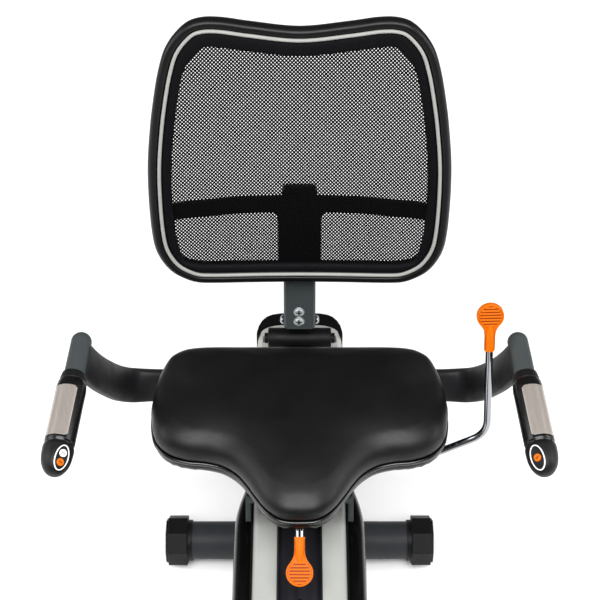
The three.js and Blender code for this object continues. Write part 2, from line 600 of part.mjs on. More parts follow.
// ---- Seat carriage ----
function seatCarriage() {
  const runner = block([-28, 28], [-52, 140], [308, 338]);
  const deck = block([-80, 80], [2, 144], [333.5, 342]);
  const cheek = plateYZ([[-56, 333.5], [144, 333.5], [144, 397], [-40, 397], [-60, 360], [-63, 352],
    [-63, 340.5]], 73, 80);
  const ledge = block([50, 80], [-36, 144], [389, 397]);
  const bed = block([-28, 28], [-52, 10], [333.5, 342]);
  return join(runner, bed, deck, symmetric(join(cheek, ledge)));
}

// ---- Seat frame: cross arm, side handles, seat bearers and the tongue for the back post ----
const ARM_STATIONS = [
  [point(205, 157, 400), point(0, 0.22, 1)],
  [point(235, 155, 398), point(0, 0.36, 0.95)],
  [point(258, 149, 408), point(0, 0.5, 0.87)],
  [point(273, 128, 443), point(0, 0.68, 0.72)],
  [point(287, 88, 504), point(0, 0.82, 0.5)],
  [point(298, 52, 556), point(-0.05, 0.93, 0.32)],
  [point(309, 34, 594), point(-0.1, 0.98, 0.2)],
];
const ARM_HALF_HEIGHT = 27;
const ARM_HALF_THICK = 11;

function ovalRing(centre, tangent, long) {
  const across = new THREE.Vector3().crossVectors(tangent, long).normalize();
  const upright = new THREE.Vector3().crossVectors(across, tangent).normalize();
  return [...Array(10).keys()].map((i) => {
    const angle = (2 * Math.PI * i) / 10;
    const flat = Math.sign(Math.sin(angle)) * Math.abs(Math.sin(angle)) ** 0.7;
    return centre.clone().addScaledVector(upright, ARM_HALF_HEIGHT * Math.cos(angle))
      .addScaledVector(across, ARM_HALF_THICK * flat);
  });
}

function sideArm() {
  const stations = [[point(0, ARM_BAR_Y, ARM_BAR_Z), point(0, 0, 1)], ...ARM_STATIONS];
  const rings = stations.map(([centre, long], i) => {
    const before = stations[Math.max(i - 1, 0)][0];
    const after = stations[Math.min(i + 1, stations.length - 1)][0];
    return ovalRing(centre, after.clone().sub(before).normalize(), long);
  });
  return loft(rings);
}

const alongHandle = (distance) => HANDLE_START.clone().addScaledVector(HANDLE_AXIS, distance);

// Rings round the handle's axis, from pairs of distance and radius.
function handleLoft(stations, sides = 14) {
  const up = point(0, 0, 1);
  const across = new THREE.Vector3().crossVectors(HANDLE_AXIS, up).normalize();
  const upright = new THREE.Vector3().crossVectors(across, HANDLE_AXIS).normalize();
  return loft(stations.map(([distance, radius]) => {
    const centre = alongHandle(distance);
    return [...Array(sides).keys()].map((i) => {
      const angle = (2 * Math.PI * i) / sides;
      return centre.clone().addScaledVector(upright, radius * Math.cos(angle))
        .addScaledVector(across, radius * Math.sin(angle));
    });
  }));
}

// The tube across the rear carries the horn in which the back post turns.
const REAR_TUBE = { y: 275, z: 381, r: 17 };

function seatFrame() {
  const handle = handleLoft([[-14.2, 3], [-12.5, 8.5], [-8.5, 12.5], [0, HANDLE_R], [GRIP_TO - 6, HANDLE_R]]);
  const bearer = plateYZ([[-64, 397 + GAP], [154, 397 + GAP], [154, 424], [-84, 424], [-84, 413]], 54, 76);
  const ear = block([46, 54.5], [-84, -56], [398, 424]);
  const bridges = block([-60, 60], [30, 60], [402, 424]);
  const half = join(sideArm(), handle, bearer, ear);
  const beam = plateYZ([[158, 382], [226, 376], [262, 356], [278, 358], [278, 376], [256, 378], [228, 397],
    [158, 404]], -17, 17);
  const horn = plateYZ([[268, 378], [288, 374], [289, 404], [281, 434], [273, 438], [265, 438.4],
    [260.6, 432], [264, 413], [270, 394]], -17, 17);
  const { y, z } = REAR_TUBE;
  const crossTube = join(crossBar(-51, 51, y, z, REAR_TUBE.r, 24), crossBar(-57, 57, y, z, 8.5, 16));
  const pivotBore = crossBar(-40, 40, ...backPoint2D(RECLINE_PIVOT.s, RECLINE_PIVOT.t), 5.4, 12);
  const leverBore = crossBar(-56, 56, FRONT_LEVER_PIVOT.y, FRONT_LEVER_PIVOT.z, 4.4, 12);
  const sideBore = crossBar(40, 90, SIDE_LEVER_PIVOT.y, SIDE_LEVER_PIVOT.z, LEVER_ROD_R + 0.4, 12);
  return cut(join(symmetric(half), bridges, beam, horn, crossTube), pivotBore, leverBore, sideBore);
}

// ---- Seat ----
const SEAT_OUTLINE = smooth(bothSides([[0, -149], [26, -146], [45, -132], [60, -111], [74, -88],
  [89, -68], [110, -52], [136, -44], [163, -41], [190, -31], [208, -12], [216, 18], [217.5, 50],
  [214, 84], [208, 111], [196, 134], [175, 148], [145, 153.5], [72, 155.5], [0, 156]]), 40, true);

// Outline shrunk towards a spine that runs from the nose to the rear.
function seatRing(inset, z, dropAtNose = 0) {
  return SEAT_OUTLINE.map(([x, y]) => {
    const spine = point(0, THREE.MathUtils.clamp(y, -95, 60), 0);
    const arm = point(x, y, 0).sub(spine);
    const reach = Math.max(arm.length() - inset, 0.35 * arm.length());
    const place = spine.add(arm.setLength(reach));
    const nose = Math.max(0, (-40 - place.y) / 110);
    return point(place.x, place.y, z - dropAtNose * nose * nose);
  });
}

function seatBase() {
  const rim = loft([seatRing(8, SEAT_BASE_Z), seatRing(1, SEAT_BASE_Z + 3), seatRing(0, SEAT_BASE_Z + 8),
    seatRing(2.5, SEAT_SEAM_Z - GAP)]);
  const hollow = loft([seatRing(26, SEAT_BASE_Z - 2), seatRing(30, SEAT_BASE_Z + 9)]);
  const pads = symmetric(block([54, 76], [-80, 140], [424 + GAP, SEAT_BASE_Z + 10]));
  return join(cut(rim, hollow), pads);
}

function seatPad() {
  return loft([seatRing(4, SEAT_SEAM_Z), seatRing(-1, 461, 1), seatRing(-3, 474, 3), seatRing(0, 487, 5),
    seatRing(8, 497, 8), seatRing(26, 504, 12), seatRing(70, SEAT_TOP_Z, 16)]);
}

// ---- Back ----

// The back's own frame: s runs up the post's face, t forward from it.
function backPoint(x, s, t) {
  const [sin, cos] = [Math.sin(BACK_LEAN), Math.cos(BACK_LEAN)];
  return point(x, BACK_ORIGIN.y + sin * s - cos * t, BACK_ORIGIN.z + cos * s + sin * t);
}

function backPoint2D(s, t) {
  const { y, z } = backPoint(0, s, t);
  return [y, z];
}

const wrapped = (x, s, t) => backPoint(x, s, t + BACK_CURVE * x * x);

function backBox([x0, x1], [s0, s1], [t0, t1]) {
  const corners = (x) => [backPoint(x, s0, t0), backPoint(x, s1, t0), backPoint(x, s1, t1),
    backPoint(x, s0, t1)];
  return loft([corners(x0), corners(x1)]);
}

function backPost() {
  const body = join(backBox([-25, 25], [0, 252], [-3, 0]), backBox([22, 25], [0, 252], [-25, -2]),
    backBox([-25, -22], [0, 252], [-25, -2]), backBox([-24, 24], [130, 252], [-25, -2]));
  const bore = crossBar(-30, 30, ...backPoint2D(RECLINE_PIVOT.s, RECLINE_PIVOT.t), 5.3, 12);
  return cut(body, bore);
}

// Pivot bolt through the post and the tongue, with a round head at both ends.
function pivotBolt() {
  const [y, z] = backPoint2D(RECLINE_PIVOT.s, RECLINE_PIVOT.t);
  return turned([[0, -31], [4, -31], [7.5, -28.5], [8.5, -25.3], [5, -25.3], [5, 25.3], [8.5, 25.3],
    [7.5, 28.5], [4, 31], [0, 31]], y, z, 12);
}

const BACK_OUTLINE = smooth(bothSides([[0, 529], [70, 537.5], [112, 545], [136, 546], [156, 541],
  [175, 525], [190, 503], [200, 473], [209, 430], [217, 378], [223.5, 307], [222.5, 210], [218, 176],
  [209, 153], [196, 134], [180, 121], [160, 111], [137, 107.5], [0, 104.5]]), 44, true);

// The back's outline moved inwards; the outline runs clockwise as the rider's back sees it.
function insetOutline(inset) {
  const count = BACK_OUTLINE.length;
  return BACK_OUTLINE.map(([x, s], i) => {
    const [px, ps] = BACK_OUTLINE[(i + count - 1) % count];
    const [nx, ns] = BACK_OUTLINE[(i + 1) % count];
    const length = Math.hypot(nx - px, ns - ps);
    return [x + (inset * (ns - ps)) / length, s - (inset * (nx - px)) / length];
  });
}

// Sweeps a section, listed as [inset, t] pairs, round the back's outline.
function backLoop(section) {
  const corners = section.map(([inset, t]) => insetOutline(inset).map(([x, s]) => wrapped(x, s, t)));
  return loft(BACK_OUTLINE.map((_, i) => corners.map((corner) => corner[i])), true);
}

function backFrame() {
  const f = BACK_FRONT;
  return backLoop([[0, f + 10], [6, f], [32, f], [35, f + 3], [35, f + 9], [32, f + 9], [32, f + 12],
    [35, f + 12], [34, f + 18], [24, f + 20], [21, f + 17.5], [14, f + 17.5], [11.5, f + 22], [4, f + 21]]);
}

function backPiping() {
  const f = BACK_FRONT;
  return backLoop(circle(3, 5, 17.5, f + 21).map((p) => [p.x, p.y]));
}

// The mesh panel is held in the groove on the inside of the frame.
function backMesh() {
  const sheet = (x) => [[90, 0], [560, 0], [560, 1.8], [90, 1.8]].map(([s, t]) =>
    wrapped(x, s, BACK_FRONT + 9.6 + t));
  const strips = loft(Array.from({ length: 15 }, (_, i) => sheet(-210 + 30 * i)));
  const edge = insetOutline(32.6);
  const prism = loft([edge.map(([x, s]) => backPoint(x, s, -10)), edge.map(([x, s]) => backPoint(x, s, 70))]);
  return strips.intersect(prism);
}

function lumbarBar() {
  const rings = [];
  for (let i = 0; i <= 14; i += 1) {
    const x = -203 + 29 * i;
    const arch = 6 * (1 - (x / 203) ** 2);
    const ring = [[220 + arch, 0.3], [246 + arch, 0.3], [246 + arch, 8.2], [220 + arch, 8.2]];
    rings.push(ring.map(([s, t]) => wrapped(x, s, t)));
  }
  const plate = backBox([-33, 33], [132, 262], [0.3, 8.2]);
  const tab = backBox([-27, 27], [132, 276], [0.3, 6]);
  return join(loft(rings), plate, tab);
}

// ---- Grips ----

// The button panel's own frame: it faces up and inwards, and slopes down towards the tip.
const panelSide = new THREE.Vector3();
const panelUp = new THREE.Vector3(-0.7, 0, 1).projectOnPlane(HANDLE_AXIS).normalize();
const panelCentre = alongHandle(PANEL.at).addScaledVector(panelUp, PANEL.height);
panelSide.crossVectors(panelUp, HANDLE_AXIS).normalize();
panelUp.applyAxisAngle(panelSide, PANEL.slope);
const panelAlong = new THREE.Vector3().crossVectors(panelSide, panelUp);

const onPanel = (along, side, height) => panelCentre.clone().addScaledVector(panelAlong, along)
  .addScaledVector(panelSide, side).addScaledVector(panelUp, height);

const ovalOutline = (halfLong, halfWide) => circle(1, 14).map((p) => [halfLong * p.x, halfWide * p.y]);

const panelPrism = (outline, low, high) =>
  loft([low, high].map((height) => outline.map(([along, side]) => onPanel(along, side, height))));

const sensorBlank = (r, spread = 0) => handleLoft([[SENSOR.from - spread, r], [SENSOR.to + spread, r]], 20);

// Keeps the part of a sleeve that faces up and a little outwards.
function sensorSector(grow) {
  const outward = point(0.25, 0, 1).projectOnPlane(HANDLE_AXIS).normalize();
  const tangent = new THREE.Vector3().crossVectors(outward, HANDLE_AXIS).normalize();
  const corner = (along, side, height) => alongHandle(along).addScaledVector(tangent, side)
    .addScaledVector(outward, height);
  const ring = (along) => [corner(along, -17 - grow, 8 - grow), corner(along, 17 + grow, 8 - grow),
    corner(along, 17 + grow, 30), corner(along, -17 - grow, 30)];
  return loft([ring(SENSOR.from - grow), ring(SENSOR.to + grow)]);
}

function sensorPlate() {
  return cut(sensorBlank(GRIP_R + 0.4), sensorBlank(GRIP_R - 1.6)).intersect(sensorSector(-1));
}

function grip() {
  const sleeve = handleLoft([[GRIP_FROM, HANDLE_R + 2], [GRIP_FROM + 9, 18.6], [GRIP_FROM + 24, GRIP_R],
    [GRIP_TO - GAP, GRIP_R]], 20);
  const bore = handleLoft([[GRIP_FROM - 5, HANDLE_R + GAP], [GRIP_TO + 5, HANDLE_R + GAP]]);
  const bed = cut(sensorBlank(30, -0.5), sensorBlank(GRIP_R - 1.9, 5)).intersect(sensorSector(-0.6));
  return cut(sleeve, bore, bed);
}

function gripCap(buttons) {
  const body = handleLoft([[GRIP_TO, GRIP_R], [GRIP_TO + 3, 22], [GRIP_TO + 12, 22], [GRIP_TO + 20, 21.2],
    [GRIP_TO + 27, 19.6], [GRIP_TO + 33, 17.2], [GRIP_TO + 38, 14], [GRIP_TO + 42, 10], [GRIP_TO + 45, 4]],
  16);
  const face = panelPrism(ovalOutline(18, 10), 0, 24);
  const wells = buttons.map((along) => handleButton(along, BUTTON_R + GAP, -8, 12));
  return cut(body, face, ...wells);
}

const handleButton = (along, radius = BUTTON_R, low = -7, high = 1.2) =>
  rod(onPanel(along, 0, low), onPanel(along, 0, high), radius, 12);

// ---- Levers ----

// Flat paddle with a round ribbed head; it is built upright and then placed on its rod.
function paddle(base, direction, length, sockets) {
  const head = length - PADDLE_R;
  const arc = Array.from({ length: 13 }, (_, i) => {
    const angle = THREE.MathUtils.degToRad(-48 + (276 * i) / 12);
    return [PADDLE_R * Math.cos(angle), head + PADDLE_R * Math.sin(angle)];
  });
  const outline = [[7.3, 0], [7.5, head - 28], [9.4, head - 21], ...arc, [-9.4, head - 21], [-7.5, head - 28],
    [-7.3, 0]];
  const shape = new THREE.Shape(outline.map(([u, v]) => new THREE.Vector2(u, v)));
  const blank = new THREE.ExtrudeGeometry(shape, { depth: 6, bevelEnabled: true, bevelSize: 1.6,
    bevelThickness: 2, bevelSegments: 1, bevelOffset: -1.6 });
  blank.translate(0, 0, -3);
  const ribs = [...Array(7).keys()].map((i) => {
    const height = head + 4.6 * (i - 3);
    const reach = Math.sqrt((PADDLE_R - 4) ** 2 - (height - head) ** 2) || 6;
    return block([-reach, reach], [height - 0.9, height + 0.9], [3.9, 9]);
  });
  const neck = rod(point(0, 0, 0), point(0, 34, 0), 7.9, 10, 5.5);
  const holes = sockets.map(([x, radius]) =>
    rod(point(x, -5, 0), point(x, 24, 0), (radius + GAP) / Math.cos(Math.PI / 8), 8));
  const built = toGeometry(cut(join(toSolid(blank), neck), ...ribs, ...holes));
  const along = direction.clone().normalize();
  const side = new THREE.Vector3().crossVectors(along, point(0, -1, 1)).normalize();
  const facing = new THREE.Vector3().crossVectors(side, along);
  built.applyMatrix4(new THREE.Matrix4().makeBasis(side, along, facing));
  built.translate(base.x, base.y, base.z);
  return toSolid(built);
}

const SIDE_BEND = point(275, 6, 463);
const SIDE_HEAD = point(271, 49, 597);
const sideDirection = SIDE_HEAD.clone().sub(SIDE_BEND).normalize();

function sideLeverRod() {
  const end = SIDE_HEAD.clone().addScaledVector(sideDirection, 22);
  const { y, z } = SIDE_LEVER_PIVOT;
  return bentRod([point(50, y, z), point(192, y, z), SIDE_BEND, end], 22, LEVER_ROD_R, 26, 10);
}

const FRONT_BASE = point(0, -150, 422);
const frontDirection = point(0, -Math.cos(0.62), -Math.sin(0.62));

function frontLeverRod() {
  const { y, z } = FRONT_LEVER_PIVOT;
  const onAxis = (x, distance) => FRONT_BASE.clone().setX(x).addScaledVector(frontDirection, distance);
  const path = (x) => [point(x, y, z), point(x, y - 38, z + 10), onAxis(x, -13.5), onAxis(x, 20)];
  const wire = (x) => bentRod(path(x), 7, FRONT_WIRE.r, 14, 6);
  const web = block([-3, 3], [y - 30, y], [z - 1, z + 4]);
  return join(crossBar(-53, 53, y, z, 4, 10), wire(FRONT_WIRE.x), wire(-FRONT_WIRE.x), web);
}

// ---- Assembly ----
addPiece("main_frame", mainFrame(), SLATE_PAINT);
addPiece("seat_rail", rail(), SILVER);
addPiece("rail_channel", channelLiner(), CHANNEL_BLACK);
addPair("side_cover", sideCover(), GLOSS_BLACK);
addPiece("rear_arch", rearArch(), SILVER);
addPiece("rear_lift_handle", rearHandle(), MATTE_BLACK);
addPiece("rear_bumper", rearBumper(), GLOSS_BLACK);
addPiece("rear_stabilizer", stabilizer(REAR_FOOT_Y), SLATE_PAINT);
addPair("rear_foot_cap", footCap(REAR_FOOT_Y), RUBBER);
addPiece("front_stabilizer", stabilizer(FRONT_FOOT_Y), SLATE_PAINT);
addPair("front_foot_cap", frontCap(), RUBBER);
addPair("transport_wheel", transportWheel(), RUBBER);
addPiece("crank_axle", crankAxle(), ALLOY);
addPiece("drive_pulley", drivePulley(), MATTE_BLACK);
addPiece("drive_belt", driveBelt(), RUBBER);
addPiece("flywheel", flywheel(), IRON);
addPiece("flywheel_spindle", flywheelSpindle(), ALLOY);
addPiece("idler_pulley", idlerPulley(), MATTE_BLACK);
addPiece("brake_arm", brakeArm(), BLACK_STEEL);
addPiece("tension_motor", tensionMotor(), MATTE_BLACK);
addPiece("crank_arm_left", crankArm(1), BLACK_STEEL);
addPiece("crank_arm_right", crankArm(-1), BLACK_STEEL);
addPiece("pedal_left", pedal(1), MATTE_BLACK);
addPiece("pedal_right", pedal(-1), MATTE_BLACK);
addPiece("pedal_strap_left", pedalStrap(1), RUBBER);
addPiece("pedal_strap_right", pedalStrap(-1), RUBBER);
addPair("housing", housingShell(), GLOSS_BLACK);
addPiece("console_mast", consoleMast(), SLATE_PAINT);
addPiece("front_handlebar", frontHandlebar(), SLATE_PAINT);
addPiece("console_body", consoleBody(), MATTE_BLACK);
addPiece("console_screen", consoleScreen(), SCREEN);
addPiece("console_dial", consoleDial(), ORANGE);
addPiece("seat_carriage", seatCarriage(), BLACK_STEEL);
addPiece("seat_frame", seatFrame(), SLATE_PAINT);
addPiece("seat_base", seatBase(), GLOSS_BLACK);
addPiece("seat_pad", seatPad(), VINYL);
addPiece("back_post", backPost(), SLATE_PAINT);
addPiece("pivot_bolt", pivotBolt(), CHROME);
addPiece("back_frame", backFrame(), GLOSS_BLACK);
addPiece("back_piping", backPiping(), PIPING);
addPiece("back_mesh", backMesh(), MESH_FABRIC);
addPiece("lumbar_bar", lumbarBar(), MATTE_BLACK);
addPair("grip", grip(), RUBBER);
addPair("pulse_sensor", sensorPlate(), BRUSHED);
addPiece("grip_cap_left", gripCap([0]), MATTE_BLACK);
addPiece("grip_cap_right", mirror(gripCap([-BUTTON_PAIR, BUTTON_PAIR])), MATTE_BLACK);
addPiece("button_left", handleButton(0), ORANGE);
addPiece("button_right_upper", mirror(handleButton(-BUTTON_PAIR)), WHITE);
addPiece("button_right_lower", mirror(handleButton(BUTTON_PAIR)), ORANGE);
addPiece("side_lever_rod", sideLeverRod(), CHROME);
addPiece("side_lever_paddle", paddle(SIDE_HEAD, sideDirection, 75, [[0, LEVER_ROD_R]]), ORANGE);
addPiece("front_lever_rod", frontLeverRod(), CHROME);
addPiece("front_lever_paddle", paddle(FRONT_BASE, frontDirection, 70,
  [[-FRONT_WIRE.x, FRONT_WIRE.r], [FRONT_WIRE.x, FRONT_WIRE.r]]), ORANGE);

// The row's origin is on the floor, under the centre of the bike's bounding box.
const extent = new THREE.Box3().setFromObject(bike);
bike.position.y = -(extent.min.y + extent.max.y) / 2;

export default bike;
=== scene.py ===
"""Recumbent exercise bike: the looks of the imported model.

Lengths in the making are millimetres in the bike's own layout, where y = 0 lies under the front
half of the seat; placed() turns them into metres in the row's frame.
"""

import fnmatch
import math

import bpy
import numpy as np
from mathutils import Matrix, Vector


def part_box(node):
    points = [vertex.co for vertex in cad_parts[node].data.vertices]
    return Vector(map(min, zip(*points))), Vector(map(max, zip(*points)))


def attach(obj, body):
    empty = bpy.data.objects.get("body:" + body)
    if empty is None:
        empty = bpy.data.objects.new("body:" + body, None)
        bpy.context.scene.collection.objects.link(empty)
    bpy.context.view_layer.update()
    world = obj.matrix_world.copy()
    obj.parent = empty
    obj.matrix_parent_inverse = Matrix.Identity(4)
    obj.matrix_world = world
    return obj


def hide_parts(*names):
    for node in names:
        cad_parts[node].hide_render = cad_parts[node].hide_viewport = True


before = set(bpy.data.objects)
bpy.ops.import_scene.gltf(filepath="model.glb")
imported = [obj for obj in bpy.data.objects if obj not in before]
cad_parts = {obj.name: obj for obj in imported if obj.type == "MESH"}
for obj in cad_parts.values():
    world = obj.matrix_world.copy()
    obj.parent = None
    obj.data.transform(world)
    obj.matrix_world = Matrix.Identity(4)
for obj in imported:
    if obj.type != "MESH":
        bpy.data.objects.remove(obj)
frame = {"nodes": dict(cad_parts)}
NODES = frame["nodes"]
scene = bpy.context.scene
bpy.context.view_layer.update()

MM = 0.001
ACROSS = (1, 0, 0)
FOOT_Y = 122  # the rear stabilizer's place in the bike's own layout
foot_low, foot_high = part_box("rear_stabilizer")
SHIFT = (foot_low.y + foot_high.y) / 2 - FOOT_Y * MM


def placed(points):
    """Millimetres in the bike's layout to metres in the row's frame."""
    return np.asarray(points, float) * MM + np.array([0, SHIFT, 0])


# ---- Camera, light and floor ----


CAMERA_AHEAD, CAMERA_HEIGHT, CAMERA_TILT = 1.5146, 2.29, 44.5
FLOOR_HALF = 14


def add_object(name, data):
    added = bpy.data.objects.new(name, data)
    scene.collection.objects.link(added)
    return added


def add_camera():
    data = bpy.data.cameras.new("camera")
    data.sensor_width = 36
    data.lens = 96.76
    data.clip_end = 60
    camera = add_object("camera", data)
    camera.location = (0.0006, SHIFT - CAMERA_AHEAD, CAMERA_HEIGHT)
    camera.rotation_euler = (math.radians(CAMERA_TILT), 0, 0)
    scene.camera = camera


def add_area_light(name, place, target, width, height, power):
    data = bpy.data.lights.new(name, "AREA")
    data.shape = "RECTANGLE"
    data.size, data.size_y = width, height
    data.energy = power
    light = add_object(name, data)
    light.location = place
    aim = Vector(target) - Vector(place)
    light.rotation_euler = aim.to_track_quat("-Z", "Y").to_euler()


def add_lights():
    add_area_light("key_light", (0, -1.9, 4.6), (0, 0.7, 0.2), 4.6, 2.6, 420)
    for name, x in (("left_light", -3.0), ("right_light", 3.0)):
        add_area_light(name, (x, 0.3, 1.9), (0, 0.7, 0.3), 1.8, 2.2, 62)
    world = bpy.data.worlds.new("studio")
    world.use_nodes = True
    background = world.node_tree.nodes["Background"]
    background.inputs["Color"].default_value = (1, 1, 1, 1)
    background.inputs["Strength"].default_value = 0.22
    scene.world = world
    scene.view_settings.view_transform = "Standard"


def add_floor():
    mesh = bpy.data.meshes.new("floor")
    corners = [(FLOOR_HALF * x, FLOOR_HALF * y, 0) for x, y in ((-1, -1), (1, -1), (1, 1), (-1, 1))]
    mesh.from_pydata(corners, [], [(0, 1, 2, 3)])
    floor = add_object("floor", mesh)
    floor.location.z = -0.0002  # just under the feet
    look = Look("studio_floor", 250, 0.7)
    look.tone(look.noise(3), 246, 252)
    mesh.materials.append(look.material)


# ---- Materials ----


LOOKS = {}


def linear(colour):
    """An sRGB colour or grey, 0 to 255, as linear light with alpha."""
    channels = colour if isinstance(colour, tuple) else (colour,) * 3
    parts = [c / 255 for c in channels]
    return [p / 12.92 if p <= 0.04045 else ((p + 0.055) / 1.055) ** 2.4 for p in parts] + [1.0]


class Look:
    """A procedural material. The methods add nodes and return an output socket."""

    def __init__(self, name, colour, roughness, metallic=0.0, specular=0.5, **sockets):
        self.material = bpy.data.materials.new(name)
        self.material.use_nodes = True
        self.tree = self.material.node_tree
        self.shader = self.tree.nodes["Principled BSDF"]
        sockets.update(Base_Color=linear(colour), Roughness=roughness, Metallic=metallic,
                       Specular_IOR_Level=specular)
        for key, value in sockets.items():
            self.shader.inputs[key.replace("_", " ")].default_value = value
        self.place = self.add("TexCoord").outputs["Object"]
        LOOKS[name] = self

    def add(self, kind, **links):
        node = self.tree.nodes.new("ShaderNode" + kind)
        for key, value in links.items():
            self.feed(node.inputs[key], value)
        return node

    def feed(self, socket, value):
        if isinstance(value, bpy.types.NodeSocket):
            self.tree.links.new(value, socket)
        else:
            socket.default_value = value

    def turned(self, rotation=(0, 0, 0), scale=(1, 1, 1)):
        """The object's coordinates, turned and then stretched."""
        first = self.add("Mapping", Vector=self.place, Rotation=rotation)
        return self.add("Mapping", Vector=first.outputs[0], Scale=scale).outputs[0]

    def noise(self, scale, detail=4.0, vector=None):
        node = self.add("TexNoise", Vector=vector or self.place, Scale=scale, Detail=detail)
        return node.outputs["Fac"]

    def cells(self, scale, vector=None, feature="F1"):
        node = self.add("TexVoronoi", Vector=vector or self.place, Scale=scale)
        node.feature = feature
        return node.outputs["Distance"]

    def waves(self, scale, vector=None, direction="X"):
        node = self.add("TexWave", Vector=vector or self.place, Scale=scale)
        node.bands_direction = direction
        return node.outputs["Fac"]

    def span(self, value, low, high, to_low=0.0, to_high=1.0):
        node = self.add("MapRange", Value=value)
        for index, number in enumerate((low, high, to_low, to_high), 1):
            node.inputs[index].default_value = number
        return node.outputs["Result"]

    def maths(self, operation, a, b):
        node = self.add("Math")
        node.operation = operation
        self.feed(node.inputs[0], a)
        self.feed(node.inputs[1], b)
        return node.outputs[0]

    def mixed(self, factor, a, b):
        node = self.add("Mix")
        node.data_type = "RGBA"
        self.feed(node.inputs["Factor"], factor)
        for index, value in ((6, a), (7, b)):
            a_socket = isinstance(value, bpy.types.NodeSocket)
            self.feed(node.inputs[index], value if a_socket else linear(value))
        return node.outputs[2]

    def tone(self, factor, a, b):
        """Colours the surface between two tones, and returns the colour."""
        colour = self.mixed(factor, a, b)
        self.feed(self.shader.inputs["Base Color"], colour)
        return colour

    def worn(self, colour, bare, strength):
        """Brightens convex edges where hands and shoes rub."""
        edge = self.span(self.add("NewGeometry").outputs["Pointiness"], 0.53, 0.6)
        rub = self.maths("MULTIPLY", edge, self.span(self.noise(60), 0.35, 0.7, 0, strength))
        self.feed(self.shader.inputs["Base Color"], self.mixed(rub, colour, bare))

    def rough(self, factor, low, high):
        self.feed(self.shader.inputs["Roughness"], self.span(factor, 0.25, 0.75, low, high))

    def relief(self, height, depth, strength):
        """Adds a bump of a depth in metres on top of the reliefs before it."""
        node = self.add("Bump", Height=height, Distance=depth, Strength=strength)
        normal = self.shader.inputs["Normal"]
        if normal.links:
            self.feed(node.inputs["Normal"], normal.links[0].from_socket)
        self.feed(normal, node.outputs[0])


def plain_look(name, colour, roughness, specular, mottle, gloss, grain, wear=None, metallic=0.0):
    """A look with mottled tones, uneven gloss and a fine grain, and perhaps worn edges.

    mottle: noise scale and two tones. gloss: noise scale, roughness range and any noise detail.
    grain: scale, noise detail (None for cells), depth and strength. wear: tone and strength.
    """
    look = Look(name, colour, roughness, metallic, specular)
    mottle_scale, deep, light = mottle
    tone = look.tone(look.noise(mottle_scale), deep, light)
    if wear:
        look.worn(tone, *wear)
    gloss_scale, least, most, *gloss_detail = gloss
    look.rough(look.noise(gloss_scale, *gloss_detail), least, most)
    scale, detail, depth, strength = grain
    height = look.noise(scale, detail) if detail else look.cells(scale)
    look.relief(height, depth, strength)


